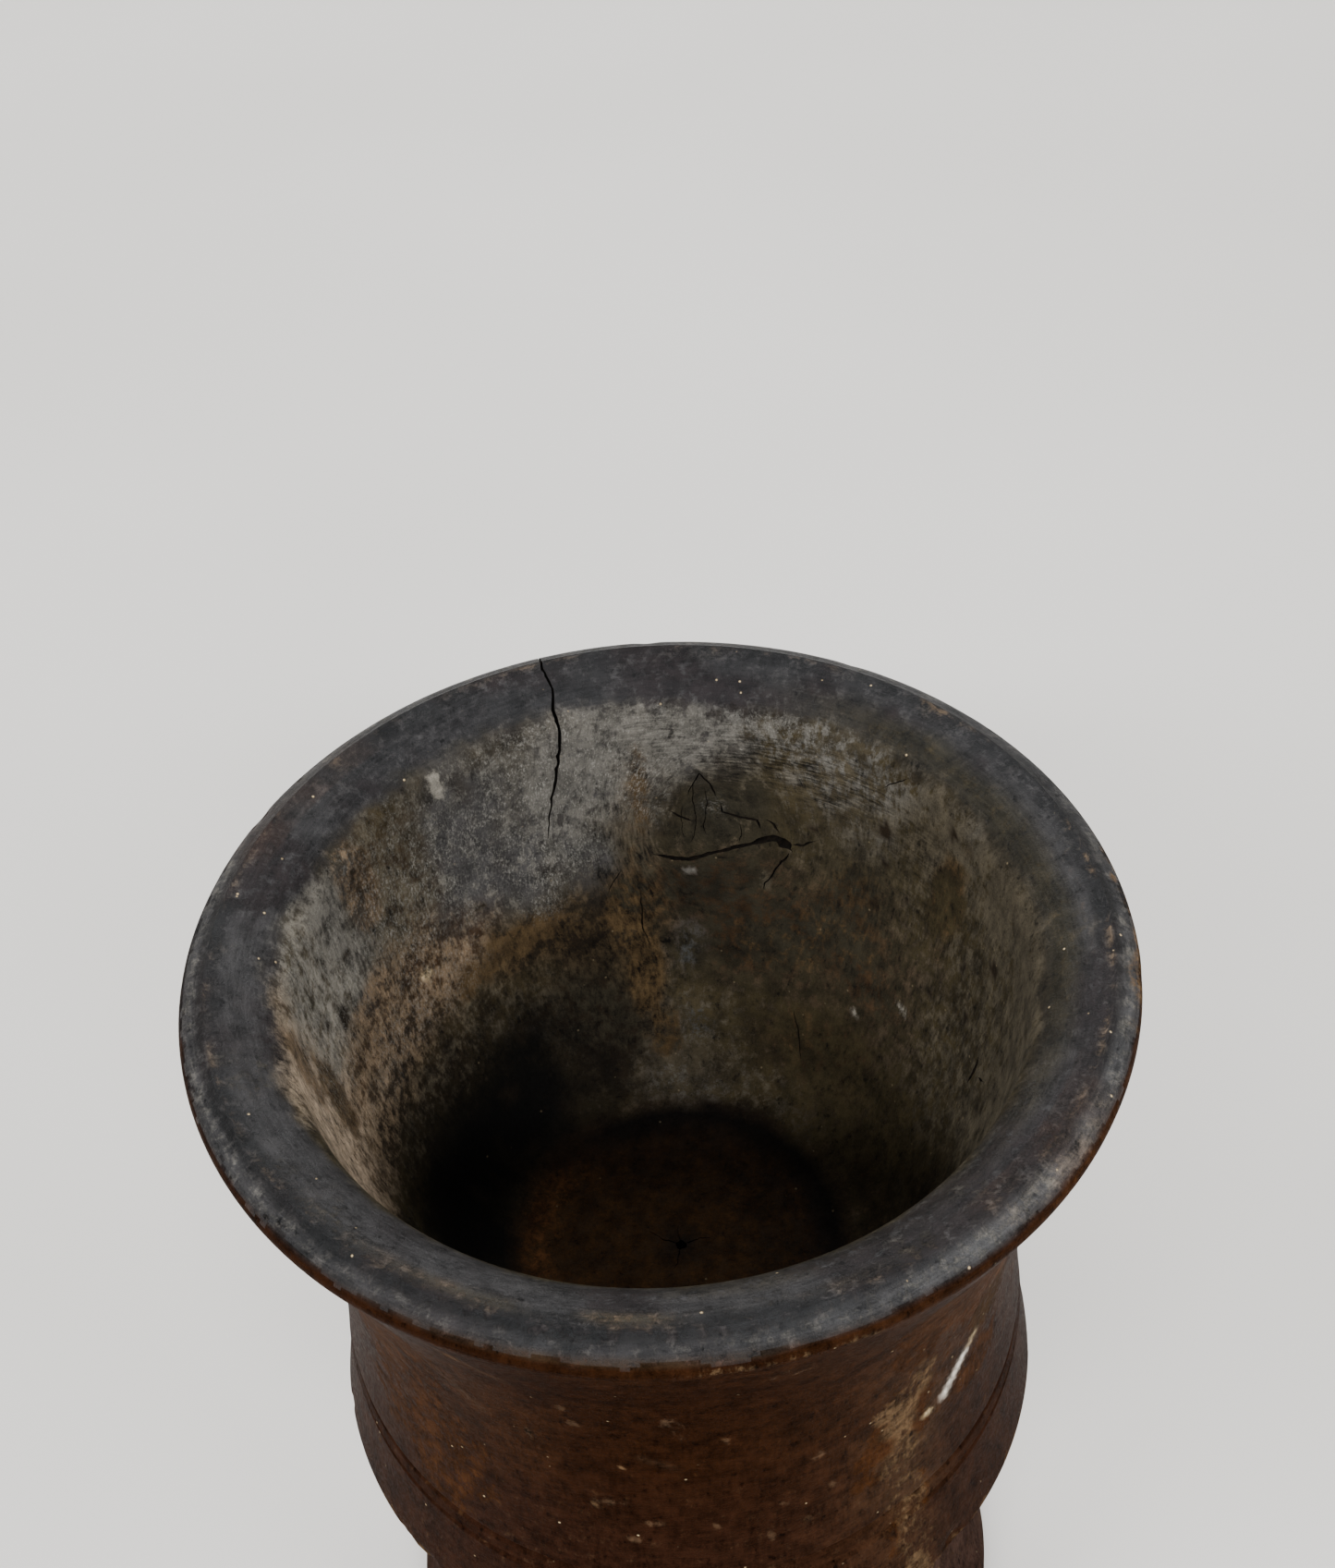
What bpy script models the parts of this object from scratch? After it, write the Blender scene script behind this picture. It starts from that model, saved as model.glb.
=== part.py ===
"""Turned wooden mortar and its pestle.

The mortar is one block turned on a lathe: a flared rim over a tapering bowl, a waisted drum with an
incised double groove above a sharp lower edge, and a pedestal foot. The pestle is one turned billet,
lying on the table in front of the mortar.

Metres, +Z up. The origin is the centre of the mortar's flat foot face.
"""

import math

import bpy

# Driving dimensions of the mortar
MORTAR_HEIGHT = 0.184
RIM_RADIUS = 0.0650
CREST_RADIUS = 0.0612
BOWL_DEPTH = 0.0766
DRUM_EDGE_RADIUS = 0.0579
DRUM_EDGE_DEPTH = 0.0985
WAIST_RADIUS = 0.0430
WAIST_DEPTH = 0.1290
FOOT_RADIUS = 0.0558
MORTAR_SEGMENTS = 56

# The two V-cuts around the drum: (drum radius there, depth below the crest)
GROOVES = ((0.0547, 0.0784), (0.0552, 0.0821))
GROOVE_DEPTH = 0.0008
GROOVE_HALF_WIDTH = 0.0009

# Driving dimensions of the pestle
PESTLE_LENGTH = 0.196
PESTLE_HEAD_RADIUS = 0.0210
PESTLE_HEAD_HEIGHT = 0.0240
PESTLE_KNOB_RADIUS = 0.0145
PESTLE_KNOB_HEIGHT = 0.1810
PESTLE_SHAFT_RADIUS = 0.0100
PESTLE_SEGMENTS = 32

# The pestle's axis runs this far in front of the mortar's
PESTLE_OFFSET = 0.098

CURVE_STEPS = 2
MERGE_DISTANCE = 0.00005


def smooth_curve(knots):
    """Catmull-Rom curve through the knots, with centripetal spacing; it starts and ends on a knot."""
    first, second = knots[0], knots[1]
    before_last, last = knots[-2], knots[-1]
    lead_in = (2 * first[0] - second[0], 2 * first[1] - second[1])
    lead_out = (2 * last[0] - before_last[0], 2 * last[1] - before_last[1])
    padded = [lead_in, *knots, lead_out]
    points = []
    for index in range(1, len(padded) - 2):
        p0, p1, p2, p3 = padded[index - 1 : index + 3]
        t1 = math.sqrt(math.dist(p0, p1))
        t2 = t1 + math.sqrt(math.dist(p1, p2))
        t3 = t2 + math.sqrt(math.dist(p2, p3))
        for step in range(CURVE_STEPS):
            t = t1 + (t2 - t1) * step / CURVE_STEPS
            points.append(catmull_rom((p0, p1, p2, p3), (0.0, t1, t2, t3), t))
    points.append(last)
    return points


def catmull_rom(p, t_knots, t):
    """One point of a Catmull-Rom segment, by repeated blending of its four knots."""

    def blend(a, b, ta, tb):
        return tuple((tb - t) / (tb - ta) * x + (t - ta) / (tb - ta) * y for x, y in zip(a, b))

    t0, t1, t2, t3 = t_knots
    a1 = blend(p[0], p[1], t0, t1)
    a2 = blend(p[1], p[2], t1, t2)
    a3 = blend(p[2], p[3], t2, t3)
    b1 = blend(a1, a2, t0, t2)
    b2 = blend(a2, a3, t1, t3)
    return blend(b1, b2, t1, t2)


def groove(radius, depth):
    """The three points of one V-cut in the drum, from its upper lip to its lower."""
    return [
        (radius, depth - GROOVE_HALF_WIDTH),
        (radius - GROOVE_DEPTH, depth),
        (radius, depth + GROOVE_HALF_WIDTH),
    ]


def bowl_profile():
    """The bowl from the centre of its floor up to the lip's crest, as (radius, depth)."""
    floor = [(0.0, BOWL_DEPTH), (0.0170, BOWL_DEPTH - 0.0003), (0.0265, BOWL_DEPTH - 0.0020)]
    wall = [(0.0325, 0.0700), (0.0377, 0.0600), (0.0430, 0.0450), (0.0470, 0.0300), (0.0500, 0.0150)]
    lip_slope = [(0.0516, 0.0067), (0.0545, 0.0032), (0.0584, 0.0010), (CREST_RADIUS, 0.0)]
    return smooth_curve(floor + wall + lip_slope)


def outer_profile():
    """The outside from the lip's crest down to the edge of the foot face, as (radius, depth)."""
    lip = [(CREST_RADIUS, 0.0), (0.0644, 0.0019), (RIM_RADIUS, 0.0036), (0.0641, 0.0062)]
    flare = [(0.0606, 0.0156), (0.0576, 0.0240), (0.0554, 0.0330), (0.0539, 0.0430)]
    drum = [(0.0533, 0.0540), (0.0538, 0.0690)]
    upper_groove, lower_groove = (groove(*place) for place in GROOVES)
    band = [lower_groove[-1], (0.0564, 0.0905), (DRUM_EDGE_RADIUS, DRUM_EDGE_DEPTH)]
    undercut = [(0.0568, 0.0998), (0.0515, 0.1020), (0.0462, 0.1090), (WAIST_RADIUS + 0.0006, 0.1180)]
    waist = [(WAIST_RADIUS, WAIST_DEPTH), (0.0448, 0.1430), (0.0488, 0.1570), (0.0530, 0.1690)]
    foot = [(FOOT_RADIUS, 0.1780), (FOOT_RADIUS - 0.0009, MORTAR_HEIGHT)]
    return (
        smooth_curve(lip + flare + drum + upper_groove[:1])
        + upper_groove[1:]
        + lower_groove[:-1]
        + smooth_curve(band)
        + smooth_curve(undercut + waist + foot)
    )


def mortar_profile():
    """Half section of the whole mortar, up the bowl, over the crest, down the outside, to the axis."""
    section = bowl_profile() + outer_profile()[1:] + [(0.0, MORTAR_HEIGHT)]
    return [(radius, MORTAR_HEIGHT - depth) for radius, depth in section]


def ellipse_arc(centre_height, radius, reach, start_deg, end_deg, steps):
    """Points (radius, height) on an ellipse around the axis; 90 degrees is its upper tip."""
    points = []
    for step in range(steps + 1):
        angle = math.radians(start_deg + (end_deg - start_deg) * step / steps)
        points.append((radius * math.cos(angle), centre_height + reach * math.sin(angle)))
    return points


def pestle_profile():
    """Half section of the pestle, from the tip of its grip knob down to its grinding end."""
    knob_reach = PESTLE_LENGTH - PESTLE_KNOB_HEIGHT
    knob = ellipse_arc(PESTLE_KNOB_HEIGHT, PESTLE_KNOB_RADIUS, knob_reach, 90, -30, 8)
    neck = [knob[-1], (0.0092, 0.1660), (0.0090, 0.1600)]
    grip = [(0.0108, 0.1430), (0.0117, 0.1250), (0.0110, 0.1050), (PESTLE_SHAFT_RADIUS, 0.0900)]
    shoulder = [(0.0108, 0.0760), (0.0146, 0.0600), (0.0190, 0.0420), (PESTLE_HEAD_RADIUS, PESTLE_HEAD_HEIGHT)]
    head = ellipse_arc(PESTLE_HEAD_HEIGHT, PESTLE_HEAD_RADIUS, PESTLE_HEAD_HEIGHT, 0, -90, 8)
    profile = knob[:-1] + smooth_curve(neck + grip + shoulder)[:-1] + head
    return [(max(radius, 0.0), height) for radius, height in profile[:-1]] + [(0.0, 0.0)]


def make_material(name, colour, roughness):
    material = bpy.data.materials.new(name)
    material.use_nodes = True
    shader = material.node_tree.nodes["Principled BSDF"]
    shader.inputs["Base Color"].default_value = (*colour, 1.0)
    shader.inputs["Roughness"].default_value = roughness
    shader.inputs["Metallic"].default_value = 0.0
    material.diffuse_color = (*colour, 1.0)
    return material


def turned_object(name, profile, segments, material, collection):
    """Turn a half section (radius, height) around +Z."""
    edges = [(index, index + 1) for index in range(len(profile) - 1)]
    mesh = bpy.data.meshes.new(name)
    mesh.from_pydata([(radius, 0.0, height) for radius, height in profile], edges, [])
    mesh.materials.append(material)
    obj = bpy.data.objects.new(name, mesh)
    collection.objects.link(obj)
    turning = obj.modifiers.new("Turning", "SCREW")
    turning.axis = "Z"
    turning.angle = 2 * math.pi
    turning.steps = segments
    turning.render_steps = segments
    turning.use_merge_vertices = True
    turning.merge_threshold = MERGE_DISTANCE
    turning.use_smooth_shade = True
    return obj


def lay_down_pestle(pestle, profile):
    """Lay the pestle along X, grip end at +X, resting on its head and its knob at z = 0."""
    span = PESTLE_KNOB_HEIGHT - PESTLE_HEAD_HEIGHT
    dip = math.atan((PESTLE_HEAD_RADIUS - PESTLE_KNOB_RADIUS) / span)
    lowest = min(-height * math.sin(dip) - radius * math.cos(dip) for radius, height in profile)
    pestle.rotation_euler = (0.0, math.pi / 2 + dip, 0.0)
    pestle.location = (-PESTLE_LENGTH / 2 * math.cos(dip), -PESTLE_OFFSET, -lowest)


def main():
    for obj in list(bpy.data.objects):
        bpy.data.objects.remove(obj)
    collection = bpy.data.collections.new("Mortar and pestle")
    bpy.context.scene.collection.children.link(collection)

    lacquer = make_material("Worn dark lacquer", (0.060, 0.026, 0.015), 0.45)
    bare_wood = make_material("Worn pestle wood", (0.190, 0.095, 0.045), 0.55)

    turned_object("mortar", mortar_profile(), MORTAR_SEGMENTS, lacquer, collection)
    profile = pestle_profile()
    pestle = turned_object("pestle", profile, PESTLE_SEGMENTS, bare_wood, collection)
    lay_down_pestle(pestle, profile)


main()
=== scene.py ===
"""Looks of an antique turned wooden mortar and its pestle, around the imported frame.

The mortar is one finely turned mesh: its outline is turned, worn, dented and then cut by its shrinkage
cracks. Its patina is painted onto the mesh in large patches, and the shader adds fibres, pores, lathe
lines and flecks. Lengths in this script are millimetres of the real mortar, unless a name says metres.
"""

import math

import bpy
import numpy as np
from mathutils import Matrix, Vector


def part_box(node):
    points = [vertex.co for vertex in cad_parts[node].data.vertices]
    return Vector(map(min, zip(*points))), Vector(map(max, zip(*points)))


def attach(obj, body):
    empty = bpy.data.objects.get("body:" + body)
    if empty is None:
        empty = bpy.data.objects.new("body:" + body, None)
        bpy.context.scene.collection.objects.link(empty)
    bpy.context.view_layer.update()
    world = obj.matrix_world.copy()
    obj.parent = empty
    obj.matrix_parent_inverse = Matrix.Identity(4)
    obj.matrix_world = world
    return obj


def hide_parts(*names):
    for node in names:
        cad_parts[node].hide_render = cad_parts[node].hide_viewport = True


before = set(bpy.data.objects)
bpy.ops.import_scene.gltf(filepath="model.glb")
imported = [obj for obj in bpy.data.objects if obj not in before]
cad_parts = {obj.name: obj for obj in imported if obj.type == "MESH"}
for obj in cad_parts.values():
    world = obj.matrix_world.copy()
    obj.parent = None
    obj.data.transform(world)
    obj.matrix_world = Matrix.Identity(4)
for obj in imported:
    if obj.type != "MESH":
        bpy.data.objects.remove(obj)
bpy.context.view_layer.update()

# The frame's boxes, in metres; one millimetre of the real mortar is MM metres here
RIM_RADIUS = 65.0
mortar_low, mortar_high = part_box("mortar")
pestle_low, pestle_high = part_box("pestle")
MM = mortar_high[0] / RIM_RADIUS
HEIGHT = (mortar_high[2] - mortar_low[2]) / MM

# The mortar's half section: (radius, depth below the crest of the lip)
BOWL = ((0, 76.6), (17, 76.3), (26.5, 74.6), (32.5, 70), (37.7, 60), (43, 45), (47, 30), (50, 15))
LIP_SLOPE = ((51.6, 6.7), (54.5, 3.2), (58.4, 1), (61.2, 0))
LIP_ROLL = ((61.2, 0), (64.4, 1.9), (RIM_RADIUS, 3.6), (64.1, 6.2))
FLARE = ((60.6, 15.6), (57.6, 24), (55.4, 33), (53.9, 43))
DRUM = ((53.3, 54), (53.8, 69), (54.7, 77.5))
UPPER_GROOVE = ((54.7, 77.5), (53.9, 78.4), (54.7, 79.3))
LOWER_GROOVE = ((55.2, 81.2), (54.4, 82.1), (55.2, 83))
BAND = ((55.2, 83), (56.4, 90.5), (57.9, 98.5))
UNDERCUT = ((57.9, 98.5), (56.8, 99.8), (51.5, 102), (46.2, 109), (43.6, 118))
WAIST = ((43, 129), (44.8, 143), (48.8, 157), (53, 169))
FOOT = ((55.8, 178), (54.9, HEIGHT))
DRUM_EDGE_DEPTH = 98.5

# The rim's material and the lacquer's start this far outward from the crest
RIM_START = -9.5
LACQUER_START = 3.5

# How closely the mesh's rows are set: (depth, spacing) on the inside, the outside and the foot
INSIDE_SPACING = ((76.6, 2.6), (72, 1.5), (60, 1.25), (14, 1.2), (8, 0.7), (0, 0.5))
OUTSIDE_SPACING = ((0, 0.45), (6, 0.7), (14, 1.2), (74, 1.2), (77, 0.3), (83.6, 0.3), (86, 1.2))
FOOT_SPACING = ((96, 1.2), (98, 0.4), (100, 0.5), (104, 1.6), (120, 3.4), (176, 2.4), (HEIGHT, 2.0))
BASE_SPACING = 9.0
COLUMNS = 360
PESTLE_COLUMNS = 144
CURVE_STEPS = 16
SHARP_ANGLE = math.radians(40)

# How far to each side a normal is measured, and how many points are looked up at once
NORMAL_REACH = 0.15
CHUNK = 4000

# Lathe marks are stored around a small circle, which draws them out about ten times along their turn;
# the pitch winds them into a spiral, in mm for each degree
LATHE_RADIUS = 6.0
PESTLE_LATHE_RADIUS = 2.0
LATHE_PITCH = 0.035


def smooth_curve(knots):
    """Catmull-Rom curve through the knots, with centripetal spacing; it starts and ends on a knot."""
    knots = np.array(knots, float)
    padded = np.vstack([2 * knots[0] - knots[1], knots, 2 * knots[-1] - knots[-2]])
    points = []
    for p in (padded[i : i + 4] for i in range(len(padded) - 3)):
        t = np.concatenate([[0], np.cumsum(np.linalg.norm(np.diff(p, axis=0), axis=1) ** 0.5)])
        for u in t[1] + (t[2] - t[1]) * np.arange(CURVE_STEPS) / CURVE_STEPS:
            a = [(p[i] * (t[i + 1] - u) + p[i + 1] * (u - t[i])) / (t[i + 1] - t[i]) for i in range(3)]
            b = [(a[i] * (t[i + 2] - u) + a[i + 1] * (u - t[i])) / (t[i + 2] - t[i]) for i in range(2)]
            points.append((b[0] * (t[2] - u) + b[1] * (u - t[1])) / (t[2] - t[1]))
    points.append(knots[-1])
    return np.array(points)


def polar(around, radius, depth):
    """Points (x, y, z) from an angle in radians around the axis, a radius and a depth."""
    return np.stack([np.cos(around) * radius, np.sin(around) * radius, -depth], -1)


def arc_lengths(points):
    """Distance of each point along its polyline."""
    return np.concatenate([[0], np.cumsum(np.linalg.norm(np.diff(points, axis=0), axis=1))])


def spaced_rows(curve, spacing):
    """Arc positions along a curve, set apart as spacing says at each position."""
    arc = arc_lengths(curve)
    density = 1.0 / spacing
    steps = np.concatenate([[0], np.cumsum(np.diff(arc) * (density[1:] + density[:-1]) / 2)])
    count = int(round(steps[-1]))
    return np.interp(np.linspace(0, steps[-1], count + 1), steps, arc)


bowl_curve = smooth_curve(BOWL + LIP_SLOPE)
outer_curve = np.vstack(
    [
        smooth_curve(LIP_ROLL + FLARE + DRUM)[:-1],
        UPPER_GROOVE[:-1],
        smooth_curve(UPPER_GROOVE[-1:] + LOWER_GROOVE[:1])[:-1],
        LOWER_GROOVE[:-1],
        smooth_curve(BAND)[:-1],
        smooth_curve(UNDERCUT + WAIST + FOOT),
    ]
)
base_curve = np.array([FOOT[-1], (0, HEIGHT)], float)


class Section:
    """A half section of (radius, depth) points, addressed by the arc length along it."""

    def __init__(self, points):
        self.points = np.asarray(points, float)
        self.arc = arc_lengths(self.points)

    def point(self, arc):
        """(radius, depth) at an arc position."""
        return np.stack([np.interp(arc, self.arc, self.points[:, i]) for i in range(2)], -1)

    def normal(self, arc):
        """Outward normal (radial, upward) at an arc position."""
        ahead = self.point(np.minimum(arc + NORMAL_REACH, self.arc[-1]))
        behind = self.point(np.maximum(arc - NORMAL_REACH, 0))
        radial, depth = (ahead - behind).T if np.ndim(arc) else ahead - behind
        normal = np.stack([depth, radial], -1)
        return normal / np.linalg.norm(normal, axis=-1, keepdims=True)

    def frame(self, azimuth, arc):
        """Position and outward normal on the turned surface, from an azimuth and an arc position."""
        radius, depth = self.point(arc)
        radial, upward = self.normal(arc)
        around = math.radians(azimuth)
        out = np.array([math.cos(around), math.sin(around), 0])
        return out * radius - np.array([0, 0, depth]), out * radial + np.array([0, 0, upward])

    def nearest_arc(self, radius, depth):
        """Arc position of the section's point nearest to each (radius, depth)."""
        arc = np.empty(len(radius))
        for start in range(0, len(radius), CHUNK):
            part = slice(start, start + CHUNK)
            gap = np.hypot(radius[part, None] - self.points[:, 0], depth[part, None] - self.points[:, 1])
            arc[part] = self.arc[gap.argmin(axis=1)]
        return arc


mortar_section = Section(np.vstack([bowl_curve, outer_curve[1:], base_curve[1:]]))
CREST_ARC = mortar_section.arc[len(bowl_curve) - 1]
FOOT_ARC = mortar_section.arc[-2]


def section_rows():
    """Arc positions of the mesh's rows, from the bowl's centre to the foot's."""
    inside = np.interp(bowl_curve[:, 1], *zip(*sorted(INSIDE_SPACING)))
    outside = np.interp(outer_curve[:, 1], *zip(*(OUTSIDE_SPACING + FOOT_SPACING)))
    base_steps = int(base_curve[0, 0] / BASE_SPACING)
    return np.concatenate(
        [
            spaced_rows(bowl_curve, inside)[:-1],
            CREST_ARC + spaced_rows(outer_curve, outside)[:-1],
            np.linspace(FOOT_ARC, mortar_section.arc[-1], base_steps + 1),
        ]
    )


def bowl_arc(depth):
    """Arc position on the bowl's side at a depth."""
    return np.interp(-np.asarray(depth, float), -bowl_curve[:, 1], arc_lengths(bowl_curve))


def outer_arc(depth):
    """Arc position on the outside at a depth."""
    rising = np.maximum.accumulate(outer_curve[:, 1])
    return CREST_ARC + np.interp(depth, rising, arc_lengths(outer_curve))


# ----- Noise -----


# Large odd numbers that scatter the lattice's cells and the seed over 32 bits
HASH_CELL = np.array([73856093, 19349663, 83492791])
HASH_SEED = 2654435761
HASH_ROUNDS = ((13, 1274126177), (16, 668265263))


def lattice_noise(points, seed):
    """Smooth value noise from -1 to 1 at points (n, 3), on a hashed unit lattice."""
    cell = np.floor(points).astype(np.int64)
    part = points - cell
    part = part * part * (3 - 2 * part)
    total = np.zeros(len(points))
    for corner in np.ndindex(2, 2, 2):
        key = (cell + corner) @ HASH_CELL + seed * HASH_SEED
        for shift, factor in HASH_ROUNDS:
            key = (key ^ (key >> shift)) * factor & 0xFFFFFFFF
        value = (key >> 7 & 0xFFFF) / 32767.5 - 1
        total += value * np.prod(np.where(corner, part, 1 - part), axis=1)
    return total


def fractal_noise(points, size, seed, octaves=3):
    """Layers of noise, each half the size of the one before; size is the largest feature in mm."""
    total = np.zeros(len(points))
    for octave in range(octaves):
        total += lattice_noise(points * 2**octave / size, seed + octave) / 2**octave
    return total / (2 - 2 ** (1 - octaves))


def line_noise(along, seed):
    """Noise along a line."""
    return lattice_noise(np.stack([along, along * 0, along * 0], -1), seed)


def bump(distance, width):
    """Bell from 1 at no distance to nearly 0 past the width."""
    return np.exp(-((distance / width) ** 2) * 2)


def ramp(value, low, high):
    """Smooth step from 0 at low to 1 at high; low may be the larger."""
    t = np.clip((value - low) / (high - low), 0, 1)
    return t * t * (3 - 2 * t)


def wrapped(azimuth, centre):
    """Degrees from centre to azimuth, the short way round."""
    return (azimuth - centre + 180) % 360 - 180


# ----- The mortar's mesh -----

# The knot in the bowl's back wall: azimuth, depth and radius
KNOT_AZIMUTH = 76
KNOT_DEPTH = 27
KNOT_RADIUS = 10.5

# Dents along the lip: (azimuth, distance outward from the crest, radius, depth)
RIM_DENTS = (
    (131, -2, 1.6, 0.25),
    (-148, 0.5, 1.4, 0.2),
    (-46, 0.3, 1.5, 0.22),
    (-78, 2.6, 2.2, 0.3),
    (-104, 3.4, 3.0, 0.22),
    (-12, 2.8, 2.6, 0.3),
    (21, 1.6, 2.0, 0.25),
    (58, 2.4, 1.8, 0.2),
    (171, 1.2, 2.0, 0.2),
    (-170, -6, 2.4, 0.2),
    (-62, -3, 1.8, 0.18),
    (35, -5, 2.2, 0.25),
    (152, 3.2, 2.4, 0.25),
    (88, 3.0, 2.0, 0.2),
)


def wear_depth(azimuth, arc, place):
    """How far the surface is worn back from the turned outline, in mm."""
    outward = arc - CREST_ARC
    radius, depth = mortar_section.point(arc).T
    inside = outward < 0
    uneven = 0.5 + 0.5 * fractal_noise(place, 34, 1, 2)
    pounded = 0.5 + 0.5 * fractal_noise(place, 7, 5, 3)
    wear = 0.10 * uneven + np.where(inside, 0.12 * pounded * ramp(depth, 6, 14), 0.04 * pounded)

    # A shallow channel runs round the lip just outside its crest
    channel = 0.75 + 0.5 * fractal_noise(place, 24, 9, 2)
    wear += 0.22 * channel * bump(outward - 1.4, 0.9)
    wear += 0.10 * bump(outward + 5.2, 1.0)

    for dent_azimuth, dent_outward, dent_radius, dent_depth in RIM_DENTS:
        across = np.radians(wrapped(azimuth, dent_azimuth)) * radius
        wear += dent_depth * bump(np.hypot(across, outward - dent_outward), dent_radius)

    # Nicks in the drum's sharp lower edge
    nicks = ramp(fractal_noise(place, 5, 21, 3), 0.12, 0.55)
    wear += 0.7 * nicks * bump(arc - outer_arc(DRUM_EDGE_DEPTH), 1.6)
    chip = np.radians(wrapped(azimuth, -48)) * radius
    wear += 0.8 * bump(np.hypot(chip, 1.6 * (arc - outer_arc(97.5))), 3.4)

    # The lands between the grooves are rubbed away where the lacquer is worn through
    rubbed = bump(wrapped(azimuth, -58), 14) * ramp(fractal_noise(place, 6, 31, 2), -0.6, 0.5)
    wear += np.where(inside, 0, 0.35 * rubbed * bump(depth - 80, 8))

    # The knot has shrunk back, in rings
    knot_distance = distance_from_knot(azimuth, depth, radius)
    rings = 0.5 + 0.5 * np.cos(knot_distance * 3.1 + fractal_noise(place, 8, 41, 2) * 3)
    sunk = ramp(knot_distance, KNOT_RADIUS + 2, KNOT_RADIUS - 4)
    wear += np.where(inside, sunk * (0.18 + 0.10 * rings), 0)

    # Small pits in the bowl
    pits = ramp(fractal_noise(place, 2.6, 51, 2), 0.45, 0.8)
    wear += np.where(inside, 0.22 * pits * ramp(depth, 5, 9), 0)
    return wear


def distance_from_knot(azimuth, depth, radius):
    """Distance over the bowl's wall from the knot's centre, stretched a little along the grain."""
    across = np.radians(wrapped(azimuth, KNOT_AZIMUTH)) * radius
    return np.hypot(across, (depth - KNOT_DEPTH) * 0.85)


def turned_mesh(name, section, rows, columns, wear_at):
    """A closed turned mesh whose first and last rows lie on the axis; returns its object."""
    azimuth = np.linspace(-180, 180, columns, endpoint=False)
    grid_azimuth, grid_arc = (a.ravel() for a in np.meshgrid(azimuth, rows[1:-1]))
    around = np.radians(grid_azimuth)
    section_at = section.point(grid_arc)
    normals = section.normal(grid_arc)
    wear = wear_at(grid_azimuth, grid_arc, polar(around, section_at[:, 0], section_at[:, 1]))
    radius = section_at[:, 0] - wear * normals[:, 0]
    depth = section_at[:, 1] + wear * normals[:, 1]
    ends = section.point(rows[[0, -1]])[:, 1]
    vertices = np.vstack([polar(around, radius, depth), [(0, 0, -ends[0]), (0, 0, -ends[1])]])
    row_count = len(rows) - 2
    index = np.arange(row_count * columns).reshape(row_count, columns)
    beside = np.roll(index, -1, axis=1)
    quads = np.stack([index[:-1], index[1:], beside[1:], beside[:-1]], -1).reshape(-1, 4)
    first_axis, last_axis = len(vertices) - 2, len(vertices) - 1
    fans = [(first_axis, a, b) for a, b in zip(index[0], beside[0])]
    fans += [(last_axis, b, a) for a, b in zip(index[-1], beside[-1])]
    mesh = bpy.data.meshes.new(name)
    mesh.from_pydata(vertices.tolist(), [], quads.tolist() + fans)
    mesh.shade_smooth()
    return linked(name, mesh)


def linked(name, data):
    """A new object in the scene."""
    obj = bpy.data.objects.new(name, data)
    bpy.context.scene.collection.objects.link(obj)
    return obj


# ----- Cracks -----

# How far a cutter stands above the surface, the length of its steps, and how much it wanders in degrees
CRACK_LIFT = 0.8
CRACK_STEP = 0.6
CRACK_JITTER = 0.16
HOLE_SIDES = 14

# About one degree around the bowl, in mm
BOWL_DEGREE = 0.87


def crack_cutter(section, route, depth, seed, jitter=CRACK_JITTER):
    """A wedge along a route of (azimuth, arc, width) points; it wanders a little and tapers at its ends."""
    route = np.array(route, float)
    lengths = np.hypot(np.diff(route[:, 0]) * BOWL_DEGREE, np.diff(route[:, 1]))
    steps = np.concatenate([[0], np.cumsum(lengths)])
    count = max(int(steps[-1] / CRACK_STEP), 4)
    along = np.linspace(0, steps[-1], count + 1)
    azimuth, arc, width = (np.interp(along, steps, route[:, i]) for i in range(3))
    slow, quick = line_noise(along * 0.45, seed), line_noise(along * 1.3, seed)
    azimuth = azimuth + jitter * (1.6 * slow + quick)
    width = width * (1 + 0.25 * quick)
    centres, normals = zip(*(section.frame(a, s) for a, s in zip(azimuth, arc)))
    centres, normals = np.array(centres), np.array(normals)
    tangents = np.gradient(centres, axis=0)
    across = np.cross(normals, tangents)
    across /= np.linalg.norm(across, axis=1, keepdims=True)
    taper = np.clip(np.minimum(np.arange(count + 1), np.arange(count, -1, -1)) / 3, 0.15, 1)
    half = (width * 0.5 * np.clip(taper, 0.3, 1))[:, None]
    lift = normals * CRACK_LIFT
    cut = normals * (depth * taper)[:, None]
    flare = 1 + CRACK_LIFT / depth
    side = across * half * flare
    rings = np.stack([centres + lift - side, centres + lift + side, centres - cut], 1)
    vertices = rings.reshape(-1, 3)
    faces = [(0, 1, 2), (3 * count + 2, 3 * count + 1, 3 * count)]
    for i in range(0, 3 * count, 3):
        for a, b in ((0, 1), (1, 2), (2, 0)):
            faces.append((i + b, i + a, i + 3 + a, i + 3 + b))
    return vertices, faces


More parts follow.
